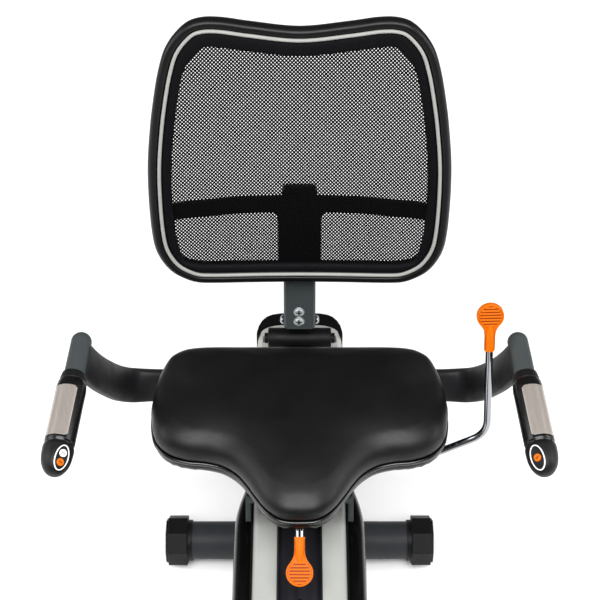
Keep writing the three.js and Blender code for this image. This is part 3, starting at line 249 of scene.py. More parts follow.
def make_plain_looks():
    for row in (
        ("slate_paint", (50, 55, 56), 0.48, 0.25, (9, (46, 51, 52), (54, 59, 60)),
         (40, 0.43, 0.55), (1500, 2, 0.00012, 0.35), ((76, 80, 80), 0.3)),
        # Painted shade: the next row is the slate paint darkened for the seat arms, whose faces get
        # less light.
        ("dark_paint", (26, 26, 28), 0.5, 0.18, (8, (20, 20, 22), (26, 26, 28)),
         (36, 0.45, 0.58), (1500, 2, 0.00012, 0.35), ((56, 56, 58), 0.3)),
        # Painted shade: the next row is the slate paint darkened for the stabilizer tubes.
        ("tube_paint", (43, 45, 48), 0.5, 0.18, (8, (36, 38, 41), (43, 45, 48)),
         (36, 0.45, 0.58), (1500, 2, 0.00012, 0.35), ((56, 56, 58), 0.3)),
        # The next look is a real satin black; on the rail's groove floor it is painted shade.
        ("satin_black", 5, 0.5, 0.12, (12, 4, 8),
         (60, 0.44, 0.58), (400, 2, 0.00008, 0.3)),
        # The next look is real black steel; in the screws' cross recesses it is painted shade.
        ("black_steel", (18, 18, 19), 0.42, 0.2, (14, (15, 15, 16), (22, 22, 23)),
         (55, 0.32, 0.5), (1200, 2, 0.0001, 0.3), (58, 0.4)),
        ("gloss_black", 5, 0.18, 0.2, (11, 4, 7),
         (28, 0.14, 0.26, 6), (190, 2, 0.00003, 0.2)),
        ("matte_black", (13, 13, 14), 0.46, 0.22, (16, (11, 11, 12), (16, 16, 17)),
         (60, 0.38, 0.54), (850, None, 0.00014, 0.4), ((42, 42, 43), 0.3)),
        ("rubber", 8, 0.42, 0.18, (20, 6, 11),
         (45, 0.42, 0.6), (900, 3, 0.00015, 0.4), (30, 0.3)),
        ("moulded_black", (7, 7, 8), 0.36, 0.22, (13, (5, 5, 6), (9, 9, 10)),
         (45, 0.3, 0.44), (900, None, 0.00006, 0.3)),
        ("grip_gloss", 6, 0.26, 0.3, (24, 5, 9),
         (70, 0.2, 0.34), (800, 2, 0.00006, 0.3)),
        ("skirt_vinyl", 6, 0.24, 0.3, (15, 5, 9),
         (50, 0.18, 0.32), (70, 3, 0.0006, 0.35)),
        ("welt_vinyl", 8, 0.2, 0.6, (40, 6, 11),
         (90, 0.15, 0.28), (160, 3, 0.0002, 0.4)),
        ("mesh_fabric", (3, 3, 4), 0.7, 0.05, (400, (2, 2, 3), (5, 5, 6)),
         (300, 0.6, 0.8), (3000, 2, 0.0001, 0.5)),
        ("piping", (142, 142, 139), 0.45, 0.25, (60, (136, 136, 133), (150, 150, 147)),
         (90, 0.35, 0.5), (1300, 2, 0.0001, 0.4)),
        ("chrome", (150, 152, 155), 0.12, 0.5, (30, (142, 144, 147), (158, 160, 163)),
         (120, 0.08, 0.18, 5), (600, 2, 0.00002, 0.2), None, 1.0),
        ("zinc", (176, 184, 184), 0.32, 0.5, (50, (166, 174, 175), (188, 195, 195)),
         (140, 0.26, 0.4), (900, 2, 0.00003, 0.3), None, 0.7),
        ("orange", (200, 99, 0), 0.45, 0.12, (30, (192, 91, 0), (200, 99, 0)),
         (90, 0.36, 0.52), (1100, None, 0.00008, 0.35)),
        # Painted shade: a darker copy of the orange, for the floors of the paddles' grooves.
        ("orange_shade", (138, 50, 0), 0.45, 0.12, (30, (126, 42, 0), (138, 50, 0)),
         (90, 0.36, 0.52), (1100, None, 0.00008, 0.35)),
        ("white", 238, 0.35, 0.5, (40, 230, 244),
         (110, 0.28, 0.42), (1200, None, 0.00005, 0.3)),
        ("panel_grey", (12, 12, 14), 0.45, 0.15, (80, (10, 10, 12), (15, 15, 17)),
         (110, 0.34, 0.48), (1500, None, 0.00005, 0.3)),
        ("tyre", (28, 28, 29), 0.6, 0.5, (40, (24, 24, 25), (40, 40, 41)),
         (80, 0.5, 0.7), (700, 3, 0.0002, 0.5), (70, 0.5)),
    ):
        plain_look(*row)


def make_special_looks():
    m = Look("silver", (174, 176, 172), 0.36, 0.25, Coat_Weight=0.1, Coat_Roughness=0.2)
    drawn = m.noise(220, 3, m.turned(scale=(1, 0.02, 1)))
    m.tone(m.noise(5), (168, 170, 166), (180, 182, 177))
    m.rough(drawn, 0.3, 0.44)
    m.relief(drawn, 0.00004, 0.3)
    m.relief(m.noise(2400, 1), 0.00004, 0.25)

    m = Look("channel_black", (26, 25, 30), 0.5, 0, 0.25)
    scuff = m.noise(90, 5, m.turned(scale=(1, 0.06, 1)))
    m.tone(m.span(scuff, 0.45, 0.8), (24, 23, 28), (38, 38, 43))
    m.rough(scuff, 0.42, 0.62)
    m.relief(scuff, 0.00008, 0.4)

    m = Look("vinyl", 8, 0.42, 0, 0.27)
    grain = m.cells(520, feature="SMOOTH_F1")
    m.tone(m.noise(7), 6, 9)
    m.rough(m.maths("ADD", m.noise(18), m.span(grain, 0, 0.6, -0.2, 0.2)), 0.37, 0.48)
    m.relief(grain, 0.00022, 0.3)
    m.relief(m.noise(2200, 2), 0.00005, 0.3)

    m = Look("binding", (5, 5, 7), 0.6, 0, 0.08)
    weft = m.turned(rotation=(0, math.radians(45), 0))
    weave = m.maths("MULTIPLY", m.waves(150, weft), m.waves(150, weft, "Z"))
    m.tone(weave, (4, 4, 6), (11, 10, 14))
    m.rough(m.noise(80), 0.52, 0.68)
    m.relief(weave, 0.0004, 0.7)

    m = Look("brushed", (178, 170, 162), 0.34, 0.7)
    fine = m.noise(900, 3, m.turned((0, 0, math.radians(-6)), (1, 0.03, 0.2)))
    m.tone(fine, (172, 164, 156), (186, 178, 170))
    m.rough(fine, 0.28, 0.38)
    m.relief(fine, 0.00003, 0.3)

    m = Look("iron", (86, 87, 91), 0.4, 0.9)
    turning = m.cells(30, m.turned(scale=(30, 1, 1)))
    m.tone(m.noise(22), (74, 75, 79), (98, 99, 103))
    m.rough(turning, 0.32, 0.5)
    m.relief(m.noise(500, 3), 0.00012, 0.4)

    m = Look("alloy", (196, 198, 200), 0.3, 0.95)
    lathe = m.noise(700, 2, m.turned(scale=(1, 0.05, 0.05)))
    m.tone(m.noise(18), (186, 188, 190), (206, 208, 210))
    m.rough(lathe, 0.22, 0.38)
    m.relief(lathe, 0.00004, 0.4)

    m = Look("screen", (30, 44, 50), 0.08, Coat_Weight=0.6, Coat_Roughness=0.03)
    segments = m.maths("MULTIPLY", m.span(m.waves(26), 0.55, 0.6),
                       m.span(m.waves(18, direction="Z"), 0.6, 0.66))
    m.tone(segments, (24, 36, 41), (44, 60, 64))
    m.rough(m.noise(40), 0.06, 0.14)
    m.relief(m.noise(500, 2), 0.00002, 0.2)


# ---- Meshes ----


def make_piece(name, shape, look, body, stands_for=(), sharp=38, bevel=0.0):
    """A shape, vertices in millimetres and faces, as a piece that rides on a body."""
    points, faces = shape
    mesh = bpy.data.meshes.new(name)
    mesh.from_pydata([tuple(p) for p in placed(points)], [], faces)
    mesh.validate()
    mesh.materials.append(LOOKS[look].material)
    piece = add_object(name, mesh)
    smooth(mesh)
    mesh.set_sharp_from_angle(angle=math.radians(sharp))
    mesh.update()
    if bevel:
        add_bevel(piece, bevel, sharp, 3)
    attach(piece, body)
    if stands_for:
        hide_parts(*stands_for)
    return piece


def smooth(mesh):
    mesh.polygons.foreach_set("use_smooth", [True] * len(mesh.polygons))


def modify(piece, name, kind, **values):
    """Adds a modifier with the given values."""
    modifier = piece.modifiers.new(name, kind)
    for key, value in values.items():
        setattr(modifier, key, value)
    return modifier


def add_bevel(piece, width, angle, segments):
    modify(piece, "rounded_edges", "BEVEL", width=width * MM, segments=segments,
           limit_method="ANGLE", angle_limit=math.radians(angle), harden_normals=True)


def join_shapes(*shapes):
    points, faces = [], []
    for some_points, some_faces in shapes:
        faces += [tuple(i + len(points) for i in face) for face in some_faces]
        points += np.asarray(some_points, float).tolist()
    return np.array(points), faces


def mirrored(shape):
    points, faces = shape
    return np.asarray(points, float) * [-1, 1, 1], [face[::-1] for face in faces]


def unchanged(shape):
    return shape


def both_sides(shape):
    return join_shapes(shape, mirrored(shape))


def loft(rings, closed=False):
    """A skin over rings of equal counts; the ends are closed by flat faces."""
    rings = np.asarray(rings, float)
    rows, count, _ = rings.shape
    faces = []
    for i in range(rows if closed else rows - 1):
        below, above = i * count, (i + 1) % rows * count
        for j in range(count):
            k = (j + 1) % count
            faces.append((below + j, below + k, above + k, above + j))
    if not closed:
        faces.append(tuple(range(count))[::-1])
        faces.append(tuple(range((rows - 1) * count, rows * count)))
    return facing_out(rings.reshape(-1, 3), faces)


def facing_out(points, faces):
    """The shape with its faces turned round if it is inside out."""
    volume = 0.0
    for face in faces:
        a = points[face[0]]
        for i in range(1, len(face) - 1):
            volume += float(np.dot(a, np.cross(points[face[i]], points[face[i + 1]])))
    if volume < 0:
        faces = [face[::-1] for face in faces]
    return points, faces


def unit(vector):
    return np.asarray(vector, float) / np.linalg.norm(vector)


def lengths(rows):
    return np.linalg.norm(rows, axis=1)[:, None]


def bases(axis):
    """Two directions square to an axis and to each other."""
    across = unit(np.cross(axis, [1.0, 0.0, 0.0] if abs(axis[0]) < 0.9 else [0.0, 1.0, 0.0]))
    return across, np.cross(axis, across)


def circle(sides, across=(1, 0), upright=(0, 1)):
    """Points round a unit circle, given its two directions."""
    angles = np.linspace(0, 2 * math.pi, sides, endpoint=False)[:, None]
    return np.cos(angles) * across + np.sin(angles) * upright


def headings(loop):
    """The direction of travel at each point of a closed loop."""
    ahead = np.roll(loop, -1, axis=0) - np.roll(loop, 1, axis=0)
    return ahead / lengths(ahead)


def blend(t, low, high, a, b):
    """The line through a at low and b at high."""
    return (high - t) / (high - low) * a + (t - low) / (high - low) * b


def spline(points, count, closed=False):
    """Evenly spaced points on a centripetal Catmull-Rom curve."""
    points = np.asarray(points, float)
    if closed:
        padded = np.vstack([points[-1], points, points[0], points[1]])
    else:
        padded = np.vstack([2 * points[0] - points[1], points, 2 * points[-1] - points[-2]])
    dense = []
    for p0, p1, p2, p3 in zip(padded, padded[1:], padded[2:], padded[3:]):
        steps = [max(np.linalg.norm(b - a), 1e-6) ** 0.5 for a, b in ((p0, p1), (p1, p2), (p2, p3))]
        t0, t1, t2, t3 = np.cumsum([0, *steps])
        t = np.linspace(t1, t2, 24, endpoint=False)[:, None]
        a1, a2, a3 = blend(t, t0, t1, p0, p1), blend(t, t1, t2, p1, p2), blend(t, t2, t3, p2, p3)
        b1, b2 = blend(t, t0, t2, a1, a2), blend(t, t1, t3, a2, a3)
        dense.append(blend(t, t1, t2, b1, b2))
    dense = np.vstack([*dense, points[0] if closed else points[-1]])
    run = np.concatenate([[0], np.cumsum(lengths(np.diff(dense, axis=0)))])
    wanted = np.linspace(0, run[-1], count, endpoint=not closed)
    return np.column_stack([np.interp(wanted, run, column) for column in dense.T])


def with_mirror(half):
    """A right-hand half outline, listed from axis to axis, and its mirror image."""
    return half + [(-u, v) for u, v in reversed(half[1:-1])]


def rounded(points, radius, steps=4, closed=True):
    """A polygon, or a line, each corner turned into a curve that starts a radius before it."""
    points = [np.asarray(p, float) for p in points]
    outline = []
    for before, corner, after in zip([points[-1], *points], points, [*points[1:], points[0]]):
        a, b = before - corner, after - corner
        reach = min(radius, 0.45 * np.linalg.norm(a), 0.45 * np.linalg.norm(b))
        start, end = corner + unit(a) * reach, corner + unit(b) * reach
        outline.append([(1 - t) ** 2 * start + 2 * t * (1 - t) * corner + t * t * end
                        for t in np.linspace(0, 1, steps + 1)])
    if not closed:
        outline[0], outline[-1] = points[:1], points[-1:]
    return np.vstack(outline)


def sweep(path, radius, sides=20):
    """A round bar along a path; radius is one number, or one for each point."""
    path = np.asarray(path, float)
    radii = np.broadcast_to(radius, len(path))
    across = np.array([0.31, 0.17, 0.94])  # any start that no path runs along
    rings = []
    for index, (centre, ahead, r) in enumerate(zip(path, np.gradient(path, axis=0), radii)):
        tangent = unit(ahead)
        if index == 0:
            across = np.cross(tangent, across)
        across = unit(across - tangent * np.dot(across, tangent))
        rings.append(centre + r * circle(sides, across, np.cross(tangent, across)))
    return loft(rings)


def turned(profile, origin, axis, sides=40):
    """A turned solid: the profile lists (distance along the axis, radius)."""
    axis = unit(axis)
    across = unit(np.cross(axis, [0.0, 0.3, 1.0] if abs(axis[2]) < 0.9 else [1.0, 0.0, 0.0]))
    ring = circle(sides, across, np.cross(axis, across))
    return loft([np.asarray(origin, float) + axis * d + max(r, 0.02) * ring for d, r in profile])


def softened(half_length, radius, edge):
    """The profile of a bar along its axis with rounded end edges."""
    turns = [math.radians(a) for a in (0, 22, 45, 67, 90)]
    one_end = [(-half_length + edge * (1 - math.sin(a)), radius - edge * (1 - math.cos(a)))
               for a in reversed(turns)]
    return one_end + [(-d, r) for d, r in reversed(one_end)]


def box_shape(x, y, z):
    """A block between (low, high) pairs."""
    ring = [(x[0], y[0]), (x[1], y[0]), (x[1], y[1]), (x[0], y[1])]
    return loft([[(u, v, height) for u, v in ring] for height in z])


def prism(outline, ends):
    """A (y, z) outline drawn out along x between two ends."""
    return loft([[(x, y, z) for y, z in outline] for x in ends])


def polish(node, look):
    """Rounds the edges of a CAD node in modifiers and gives it its material."""
    piece = NODES[node]
    mesh = piece.data
    if "custom_normal" in mesh.attributes:
        mesh.attributes.remove(mesh.attributes["custom_normal"])
    mesh.materials.clear()
    mesh.materials.append(LOOKS[look].material)
    smooth(mesh)
    mesh.polygons.foreach_set("material_index", [0] * len(mesh.polygons))
    modify(piece, "weld", "WELD", merge_threshold=0.02 * MM)
    modify(piece, "flat_faces", "DECIMATE", decimate_type="DISSOLVE",
           angle_limit=math.radians(0.7))
    add_bevel(piece, 0.7, 34, 2)
    modify(piece, "normals", "WEIGHTED_NORMAL", keep_sharp=True)


# ---- Seat ----

SEAM_Z = 452
SEAT_OUTLINE = spline(with_mirror([
    (0, -149), (26, -146), (45, -132), (60, -111), (74, -88), (89, -68), (110, -52), (136, -44),
    (163, -41), (190, -31), (208, -12), (216, 18), (217.5, 50), (214, 84), (208, 111), (196, 134),
    (175, 148), (145, 153.5), (72, 155.5), (0, 156)]), 180, closed=True)
NOSE_START, NOSE_REACH = -40, 110
REAR_START, REAR_REACH = 70, 60
TOP_EDGE_Z, REAR_LIFT = 496.5, 4.5


def nose_share(y):
    return np.maximum(0, (NOSE_START - y) / NOSE_REACH)


def rear_share(y):
    return np.clip((y - REAR_START) / REAR_REACH, 0, 1)


def spine_below(outline, front, rear):
    """The nearest points of a line that runs along the seat's middle."""
    return np.column_stack([np.zeros(len(outline)), np.clip(outline[:, 1], front, rear)])


def seat_ring(inset, height, nose_drop=0.0):
    """The seat's outline drawn in: square to itself at first, then towards a central spine."""
    ahead = headings(SEAT_OUTLINE)
    outline = SEAT_OUTLINE + min(inset, 20) * np.column_stack([-ahead[:, 1], ahead[:, 0]])
    spine = spine_below(outline, -95, 60)
    arm = outline - spine
    length = lengths(arm)
    place = spine + arm / length * np.maximum(length - max(inset - 20, 0), 0.35 * length)
    return np.column_stack([place, height - nose_drop * nose_share(place[:, 1]) ** 2])


def seat_pad_shape():
    """The cushion a little slack, ready to be filled: its side, then its crowned top."""
    profile = [(9, SEAM_Z), (3.4, 453), (-0.4, 457), (-2.4, 463), (-2.6, 470), (-0.6, 478),
               (4.2, 485.5), (11, 491.5), (20, TOP_EDGE_Z)]
    drops = np.interp([h for _, h in profile], [SEAM_Z, 462, 480, 500], [0, 1, 4, 13])
    side = [seat_ring(*row) for row in spline(np.column_stack([profile, drops]), 20)]
    rear = rear_share(SEAT_OUTLINE[:, 1])[:, None]
    rim = seat_ring(0, SEAM_Z)
    for ring in side:
        upper = np.clip((ring[:, 2:] - 474) / 8, 0, 1)
        ring[:, :2] += 0.72 * rear * upper * (rim - ring)[:, :2]
        ring[:, 2:] += REAR_LIFT * rear * upper
    edge = side[-1]
    spine = spine_below(edge, -88, 62)
    for share in (0.95, 0.89, 0.82, 0.74, 0.65, 0.55, 0.45, 0.35, 0.25, 0.15, 0.07, 0.01):
        place = spine + share * (edge[:, :2] - spine)
        side.append(np.column_stack([place, crown(place, edge)]))
    return loft(side)


def crown(place, edge):
    """Heights of the cushion's top, from how far each point lies inside the top's edge."""
    gaps = np.linalg.norm(place[:, None, :] - edge[None, :, :2], axis=2)
    weight = np.exp(-(gaps - gaps.min(axis=1)[:, None]) / 12)
    inside = (gaps * weight).sum(axis=1) / weight.sum(axis=1)
    lift = REAR_LIFT * rear_share(place[:, 1])
    rise = (9.5 - lift) * (1 - np.exp(-np.maximum(inside - 3, 0) / 30))
    return TOP_EDGE_Z + lift + rise - (11.4 + 0.5 * rise) * nose_share(place[:, 1]) ** 2


def fill_cushion(piece, floor_z, swell):
    """Inflates a cushion by cloth simulation; what lies on its base stays where it is."""
    modify(piece, "even_skin", "REMESH", mode="VOXEL", voxel_size=5 * MM)
    apply_modifiers(piece)
    before = coordinates(piece.data)
    group = piece.vertex_groups.new(name="base")
    group.add([i for i, z in enumerate(before[:, 2]) if z < floor_z], 1.0, "REPLACE")
    cloth = modify(piece, "filling", "CLOTH")
    settings = cloth.settings
    settings.use_pressure = True
    settings.uniform_pressure_force = 2
    settings.effector_weights.gravity = 0
    settings.quality = 6
    settings.vertex_group_mass = "base"
    settings.tension_stiffness = 25
    settings.bending_stiffness = 6
    for step in range(1, 21):
        scene.frame_set(step)
    filled = piece.evaluated_get(bpy.context.evaluated_depsgraph_get())
    move = coordinates(filled.data) - before
    piece.modifiers.remove(cloth)
    scene.frame_set(1)
    length = lengths(move)
    move *= swell * np.tanh(length / swell) / np.maximum(length, 1e-9)
    piece.data.vertices.foreach_set("co", (before + move).astype(np.float32).ravel())
    piece.data.update()
    modify(piece, "eased", "SMOOTH", factor=0.5, iterations=12)
    modify(piece, "finer", "SUBSURF", levels=1, render_levels=1)
    apply_modifiers(piece)


def coordinates(mesh):
    flat = np.zeros(len(mesh.vertices) * 3, np.float32)
    mesh.vertices.foreach_get("co", flat)
    return flat.reshape(-1, 3).astype(float)


def apply_modifiers(piece):
    """Replaces the piece's mesh by the one its modifiers make."""
    graph = bpy.context.evaluated_depsgraph_get()
    baked = bpy.data.meshes.new_from_object(piece.evaluated_get(graph))
    materials = list(piece.data.materials)
    piece.modifiers.clear()
    piece.data = baked
    baked.materials.clear()
    for material in materials:
        baked.materials.append(material)
    smooth(baked)


def make_seat():
    pad = make_piece("seat_cushion", seat_pad_shape(), "vinyl", "seat", ["seat_pad"])
    fill_cushion(pad, (SEAM_Z + 3) * MM, 3 * MM)
    welt = seat_ring(-0.6, SEAM_Z + 1.6)
    make_piece("seat_welt", ring_tube(welt, 3.0), "welt_vinyl", "seat")
    skirt = [seat_ring(inset, height) for inset, height in (
        (28, 442), (27, 435.6), (14, 434.4), (8, 434), (3.2, 435), (1.0, 437.6), (0.2, 442),
        (0.2, 446), (1.4, 448.6), (2.4, 451.2), (10, 451.4), (28, 451.4))]
    pads = both_sides(box_shape((54, 76), (-80, 140), (424.3, 443)))
    shape = join_shapes(loft(wrinkled(skirt)), pads)
    make_piece("seat_shell", shape, "skirt_vinyl", "seat", ["seat_base"], sharp=50)


def wrinkled(rings):
    """Small gathers where the cover is pulled round the tight front corners."""
    rings = np.array(rings)
    for sign in (-1, 1):
        reach = np.exp(-(((rings[:, :, 0] - sign * 172) / 24) ** 2)
                       - ((rings[:, :, 1] + 38) / 16) ** 2)
        fold = np.sin(rings[:, :, 0] * 0.55) * np.sin((rings[:, :, 2] - 434) * 0.3)
        rings[:, :, 1] += 1.1 * reach * fold
    return rings


def ring_tube(centres, radius, sides=10):
    """A round cord laid along a closed loop."""
    ahead = headings(centres)
    side = np.cross(ahead, [0, 0, 1])
    side /= lengths(side)
    rings = [c + radius * circle(sides, s, np.cross(s, a)) for c, s, a in zip(centres, side, ahead)]
    return loft(rings, closed=True)


# ---- Back ----

LEAN = math.radians(12)
BACK_FOOT = (255, 423)
BACK_CURVE = 22 / 227 ** 2
FRAME_T = 8.6  # from the post's face to the back of the moulded frame
PIPING_INSET, PIPING_R = 17.6, 2.7
BACK_OUTLINE = spline(with_mirror([
    (0, 529), (70, 537.5), (112, 545), (136, 546), (156, 541), (175, 525), (190, 503), (200, 473),
    (209, 430), (217, 378), (223.5, 307), (222.5, 210), (218, 176), (209, 153), (196, 134),
    (180, 121), (160, 111), (137, 107.5), (0, 104.5)]), 300, closed=True)
NET_STEP = (5.4, 5.9)  # from hole to hole, across and up
NET_HALF_WIDTH, NET_HALF_THICK = 1.15, 0.35
LUMBAR_HALF, PLATE_HALF, TAB_HALF, FILLET = 203, 33, 27, 12
SLOT_HALF = 0.17  # half the width of a screw's slots, as a share of its radius


def on_back(x, s, t):
    """A point from the back's own frame: s up the post's face, t forward from it."""
    x, s, t = np.broadcast_arrays(x, s, t)
    y = BACK_FOOT[0] + math.sin(LEAN) * s - math.cos(LEAN) * t
    z = BACK_FOOT[1] + math.cos(LEAN) * s + math.sin(LEAN) * t
    return np.stack([x, y, z], axis=-1)


def wrapped(x, s, t):
    """A point on the back's curved sheets, t in front of the one through the post's face."""
    return on_back(x, s, t + BACK_CURVE * np.square(x))


def inset_outline(inset):
    """The outline drawn in. Past the piping the border is wider at the top, narrow at the foot."""
    ahead = headings(BACK_OUTLINE)
    x, s = BACK_OUTLINE.T
    top = np.clip((s - 465) / 60, 0, 1)
    foot = np.exp(-((np.abs(x) - 196) / 30) ** 2 - ((s - 136) / 26) ** 2)
    wider = (9 * top * top * (3 - 2 * top) - 7 * foot) * np.clip((inset - 20.5) / 12, 0, 1)
    return BACK_OUTLINE + (inset + wider)[:, None] * np.column_stack([ahead[:, 1], -ahead[:, 0]])


def back_loop(section):
    """A section of (inset, t) pairs swept round the back's outline."""
    rows = [wrapped(*inset_outline(inset).T, t) for inset, t in section]
    return loft(np.swapaxes(rows, 0, 1), closed=True)


def make_back():
    f = FRAME_T
    border = rounded([(0.2, f + 8), (3, f + 0.2), (12, f), (30, f), (33.5, f + 2), (33.5, f + 8),
                      (20.5, f + 9), (20.5, f + 16.5), (14.6, f + 17), (12.5, f + 21.8),
                      (5, f + 21.4), (0.4, f + 15)], 4.5, 5)
    make_piece("back_shell", back_loop(border), "moulded_black", "back",
               ["back_frame"], sharp=60)
    band = rounded([(20.9, f + 9.4), (34.6, f + 8.4), (35.4, f + 14), (32, f + 18.6),
                    (25, f + 20), (20.9, f + 18)], 3)
    make_piece("back_band", back_loop(band), "binding", "back", sharp=60)
    cord = (PIPING_INSET, f + 19.8) + PIPING_R * circle(14)
    make_piece("back_edge_piping", back_loop(cord), "piping", "back",
               ["back_piping"], sharp=80)
    net = make_piece("back_net", net_shape(), "mesh_fabric", "back", ["back_mesh"],
                     sharp=30)
    make_piece("lumbar_plate", lumbar_shape(), "matte_black", "back",
               ["lumbar_bar"], sharp=35, bevel=1.0)
    make_post()


def net_shape():
    """Two crossed families of flat threads, cut off at the inside of the frame."""
    across, up = NET_STEP
    edge = inset_outline(33.2)
    pitch = across * up / math.hypot(across, up)
    shapes = []
    for sign in (-1, 1):
        along = np.array([across, sign * up]) / math.hypot(across, up)
        side = np.array([-along[1], along[0]])
        low, high = (edge @ side).min(), (edge @ side).max()
        for offset in np.arange(low + 1.5, high - 1.5, pitch):
            for start, end in chords(edge, along, side, offset):
                steps = max(2, int((end - start) / 14) + 1)
                line = offset * side + np.linspace(start, end, steps)[:, None] * along
                shapes.append(thread(line, side, FRAME_T + 11.6 + 0.25 * sign))
    return join_shapes(*shapes)


def chords(edge, along, side, offset):
    """Where a straight line lies inside a closed outline, as (start, end) pairs."""
    u, v = edge @ along, edge @ side - offset
    after_u, after_v = np.roll(u, -1), np.roll(v, -1)
    crossing = (v < 0) != (after_v < 0)
    hits = u + (after_u - u) * v / np.where(crossing, v - after_v, 1)
    hits = np.sort(hits[crossing])
    return [(a, b) for a, b in zip(hits[::2], hits[1::2]) if b - a > 3]


def thread(line, side, t):
    """A flat four-sided thread along a line drawn on the back's curved sheet."""
    wide, thick = NET_HALF_WIDTH * side, NET_HALF_THICK
    rings = [wrapped(line[:, 0] + dx, line[:, 1] + ds, t + dt)
             for dx, ds, dt in ((*wide, 0), (0, 0, thick), (*-wide, 0), (0, 0, -thick))]
    return loft(np.swapaxes(rings, 0, 1))


def lumbar_shape():
    """An arched bar with a plate below its middle and a tab above, as columns across the back."""
    columns = []
    steps = (26.9, TAB_HALF, 32.9, PLATE_HALF, 34, 35.5, 38, 41, PLATE_HALF + FILLET)
    across = np.linspace(-LUMBAR_HALF, LUMBAR_HALF, 82)
    for x in np.unique([*across, *steps, *(-step for step in steps)]):
        arch = 6 * (1 - (x / LUMBAR_HALF) ** 2)
        top, bottom = 241 + arch, 215 + arch
        outside = abs(x) - PLATE_HALF
        if outside < 0:
            bottom = 132
        elif outside < FILLET:
            bottom -= FILLET - math.sqrt(FILLET ** 2 - (FILLET - outside) ** 2)
        if abs(x) < TAB_HALF:
            top = 262 - max(0, abs(x) - 19) ** 2 * 0.12
        corners = [(bottom, 0.4), (top, 0.4), (top, 8.0), (bottom, 8.0)]
        bow = 0 if outside <= 0 else BACK_CURVE * x * x
        columns.append([on_back(x, s, t + bow) for s, t in corners])
    return loft(columns)


def make_post():
    """The pressed upright: a channel with round lower corners, and the bolts in both its faces."""
    rings = []
    for s in (0, 0.3, 1, 2, 3.2, 4.5, 20, 120, 252):
        corner = max(0.0, 4.5 - s)
        half = 25 - (4.5 - math.sqrt(4.5 ** 2 - corner ** 2))
        outer = [(-half, -25), (-half, -3), (-half + 3, 0), (half - 3, 0), (half, -3), (half, -25)]
        inner = [(half - 3, -25), (half - 3, -5), (half - 5, -3), (5 - half, -3), (3 - half, -5),
                 (3 - half, -25)]
        rings.append([on_back(x, s, t) for x, t in outer + inner])
    flat = ((-21, -24), (21, -24), (21, -4), (-21, -4))
    web = loft([[on_back(x, s, t) for x, t in flat] for s in (130, 252)])
    make_piece("back_upright", join_shapes(loft(rings), web), "slate_paint", "back",
               ["back_post"], sharp=40, bevel=0.8)
    forward = unit(on_back(0, 0, 1) - on_back(0, 0, 0))
    for index, s in enumerate([15, 33], 1):
        make_bolt(f"post_bolt_{index}", on_back(-1, s, 0.1), forward, 6.8)
    for index, (x, s) in enumerate([(-12, 150), (12, 150), (-12, 236), (12, 236)], 1):
        make_bolt(f"plate_bolt_{index}", on_back(x, s, -25), -forward, 5)


def make_bolt(name, seat, outward, radius):
    """A domed screw head with a cross recess, on a washer, in the back's post."""
    washer = turned([(-0.4, radius + 1.6), (0.7, radius + 1.6), (1.0, radius + 1.2)], seat, outward, 32)
    base, height = seat + outward * 0.8, 0.62 * radius
    head = dome_with_cross(base, outward, radius, height)
    cross = recess_shade_shape(base, outward, radius, height)
    make_piece(name, join_shapes(washer, head), "zinc", "back", sharp=50)
    # Painted shade: the cross recess gets a dark floor.
    make_piece(f"{name}_recess", cross, "black_steel", "back", sharp=50)


def recess_shade_shape(seat, outward, radius, height):
    """Painted shade: a dark floor in a screw's cross recess, where shade falls."""
    across, upright = bases(outward)
    arms = []
    half = SLOT_HALF * radius
    for u, v in ((across, upright), (upright, across)):
        for reach, high in ((0.45 * radius, 0.72 * height), (0.78 * radius, 0.52 * height)):
            corners = ((-reach, -half), (reach, -half), (reach, half), (-reach, half))
            arms.append(loft([[seat + u * a + v * b + outward * lift for a, b in corners]
                              for lift in (0.1 * height, high)]))
    return join_shapes(*arms)


def dome_with_cross(seat, outward, radius, height):
    """The screw's domed head, with its slots pressed into it."""
    across, upright = bases(outward)
    rings = []
    for share in (1.0, 1.0, 0.97, 0.9, 0.8, 0.7, 0.6, 0.52, 0.44, 0.34, 0.24, 0.12, 0.02):
        level = height * math.sqrt(max(0.0, 1 - share ** 2))
        lift = 0.0 if not rings else 0.35 * height + 0.65 * level
        ring = []
        for u, v in radius * share * circle(48):
            near, far = sorted((abs(u), abs(v)))
            slot = far < 0.8 * radius and near < SLOT_HALF * radius
            ring.append(seat + across * u + upright * v + outward * (lift - 0.4 * height * slot))
        rings.append(ring)
    return loft(rings)


# ---- Seat frame, handles and grips ----

HANDLE_START = np.array([312.5, 62, 600.0])
HANDLE_AXIS = unit([0.109, -0.975, -0.195])
HANDLE_R = 15
ARM_HALF, ARM_HALF_THICK = 27, 11
REAR_TUBE_AT = (0, 275, 381)
TONGUE = (-17, 17)  # the ends across of the piece that carries the post
GRIP_R = 21.5
GRIP_FROM, GRIP_TO = 54, 170
SENSOR_FROM, SENSOR_TO = 82, 162
BUTTON_PAIR = 6.5  # how far the right grip's two buttons lie from the panel's centre


def across_handle(vector):
    return unit(np.asarray(vector, float) - HANDLE_AXIS * np.dot(vector, HANDLE_AXIS))


FACING = across_handle([-0.7, 0, 1])
PANEL_CENTRE = HANDLE_START + HANDLE_AXIS * 194 + FACING * 18.3
PANEL_SLOPE = math.radians(15)
PANEL_UP = math.cos(PANEL_SLOPE) * FACING + math.sin(PANEL_SLOPE) * HANDLE_AXIS
PANEL_ALONG = math.cos(PANEL_SLOPE) * HANDLE_AXIS - math.sin(PANEL_SLOPE) * FACING
PANEL_SIDE = np.cross(PANEL_UP, PANEL_ALONG)
PANEL_LENGTH, PANEL_WIDTH = 18, 10
PLATE_OUT = across_handle([0.25, 0, 1])
PLATE_SIDE = np.cross(PLATE_OUT, HANDLE_AXIS)


def on_panel(along, side=0.0, height=0.0):
    """A point in the frame of the grip's sloping button panel."""
    return PANEL_CENTRE + PANEL_ALONG * along + PANEL_SIDE * side + PANEL_UP * height


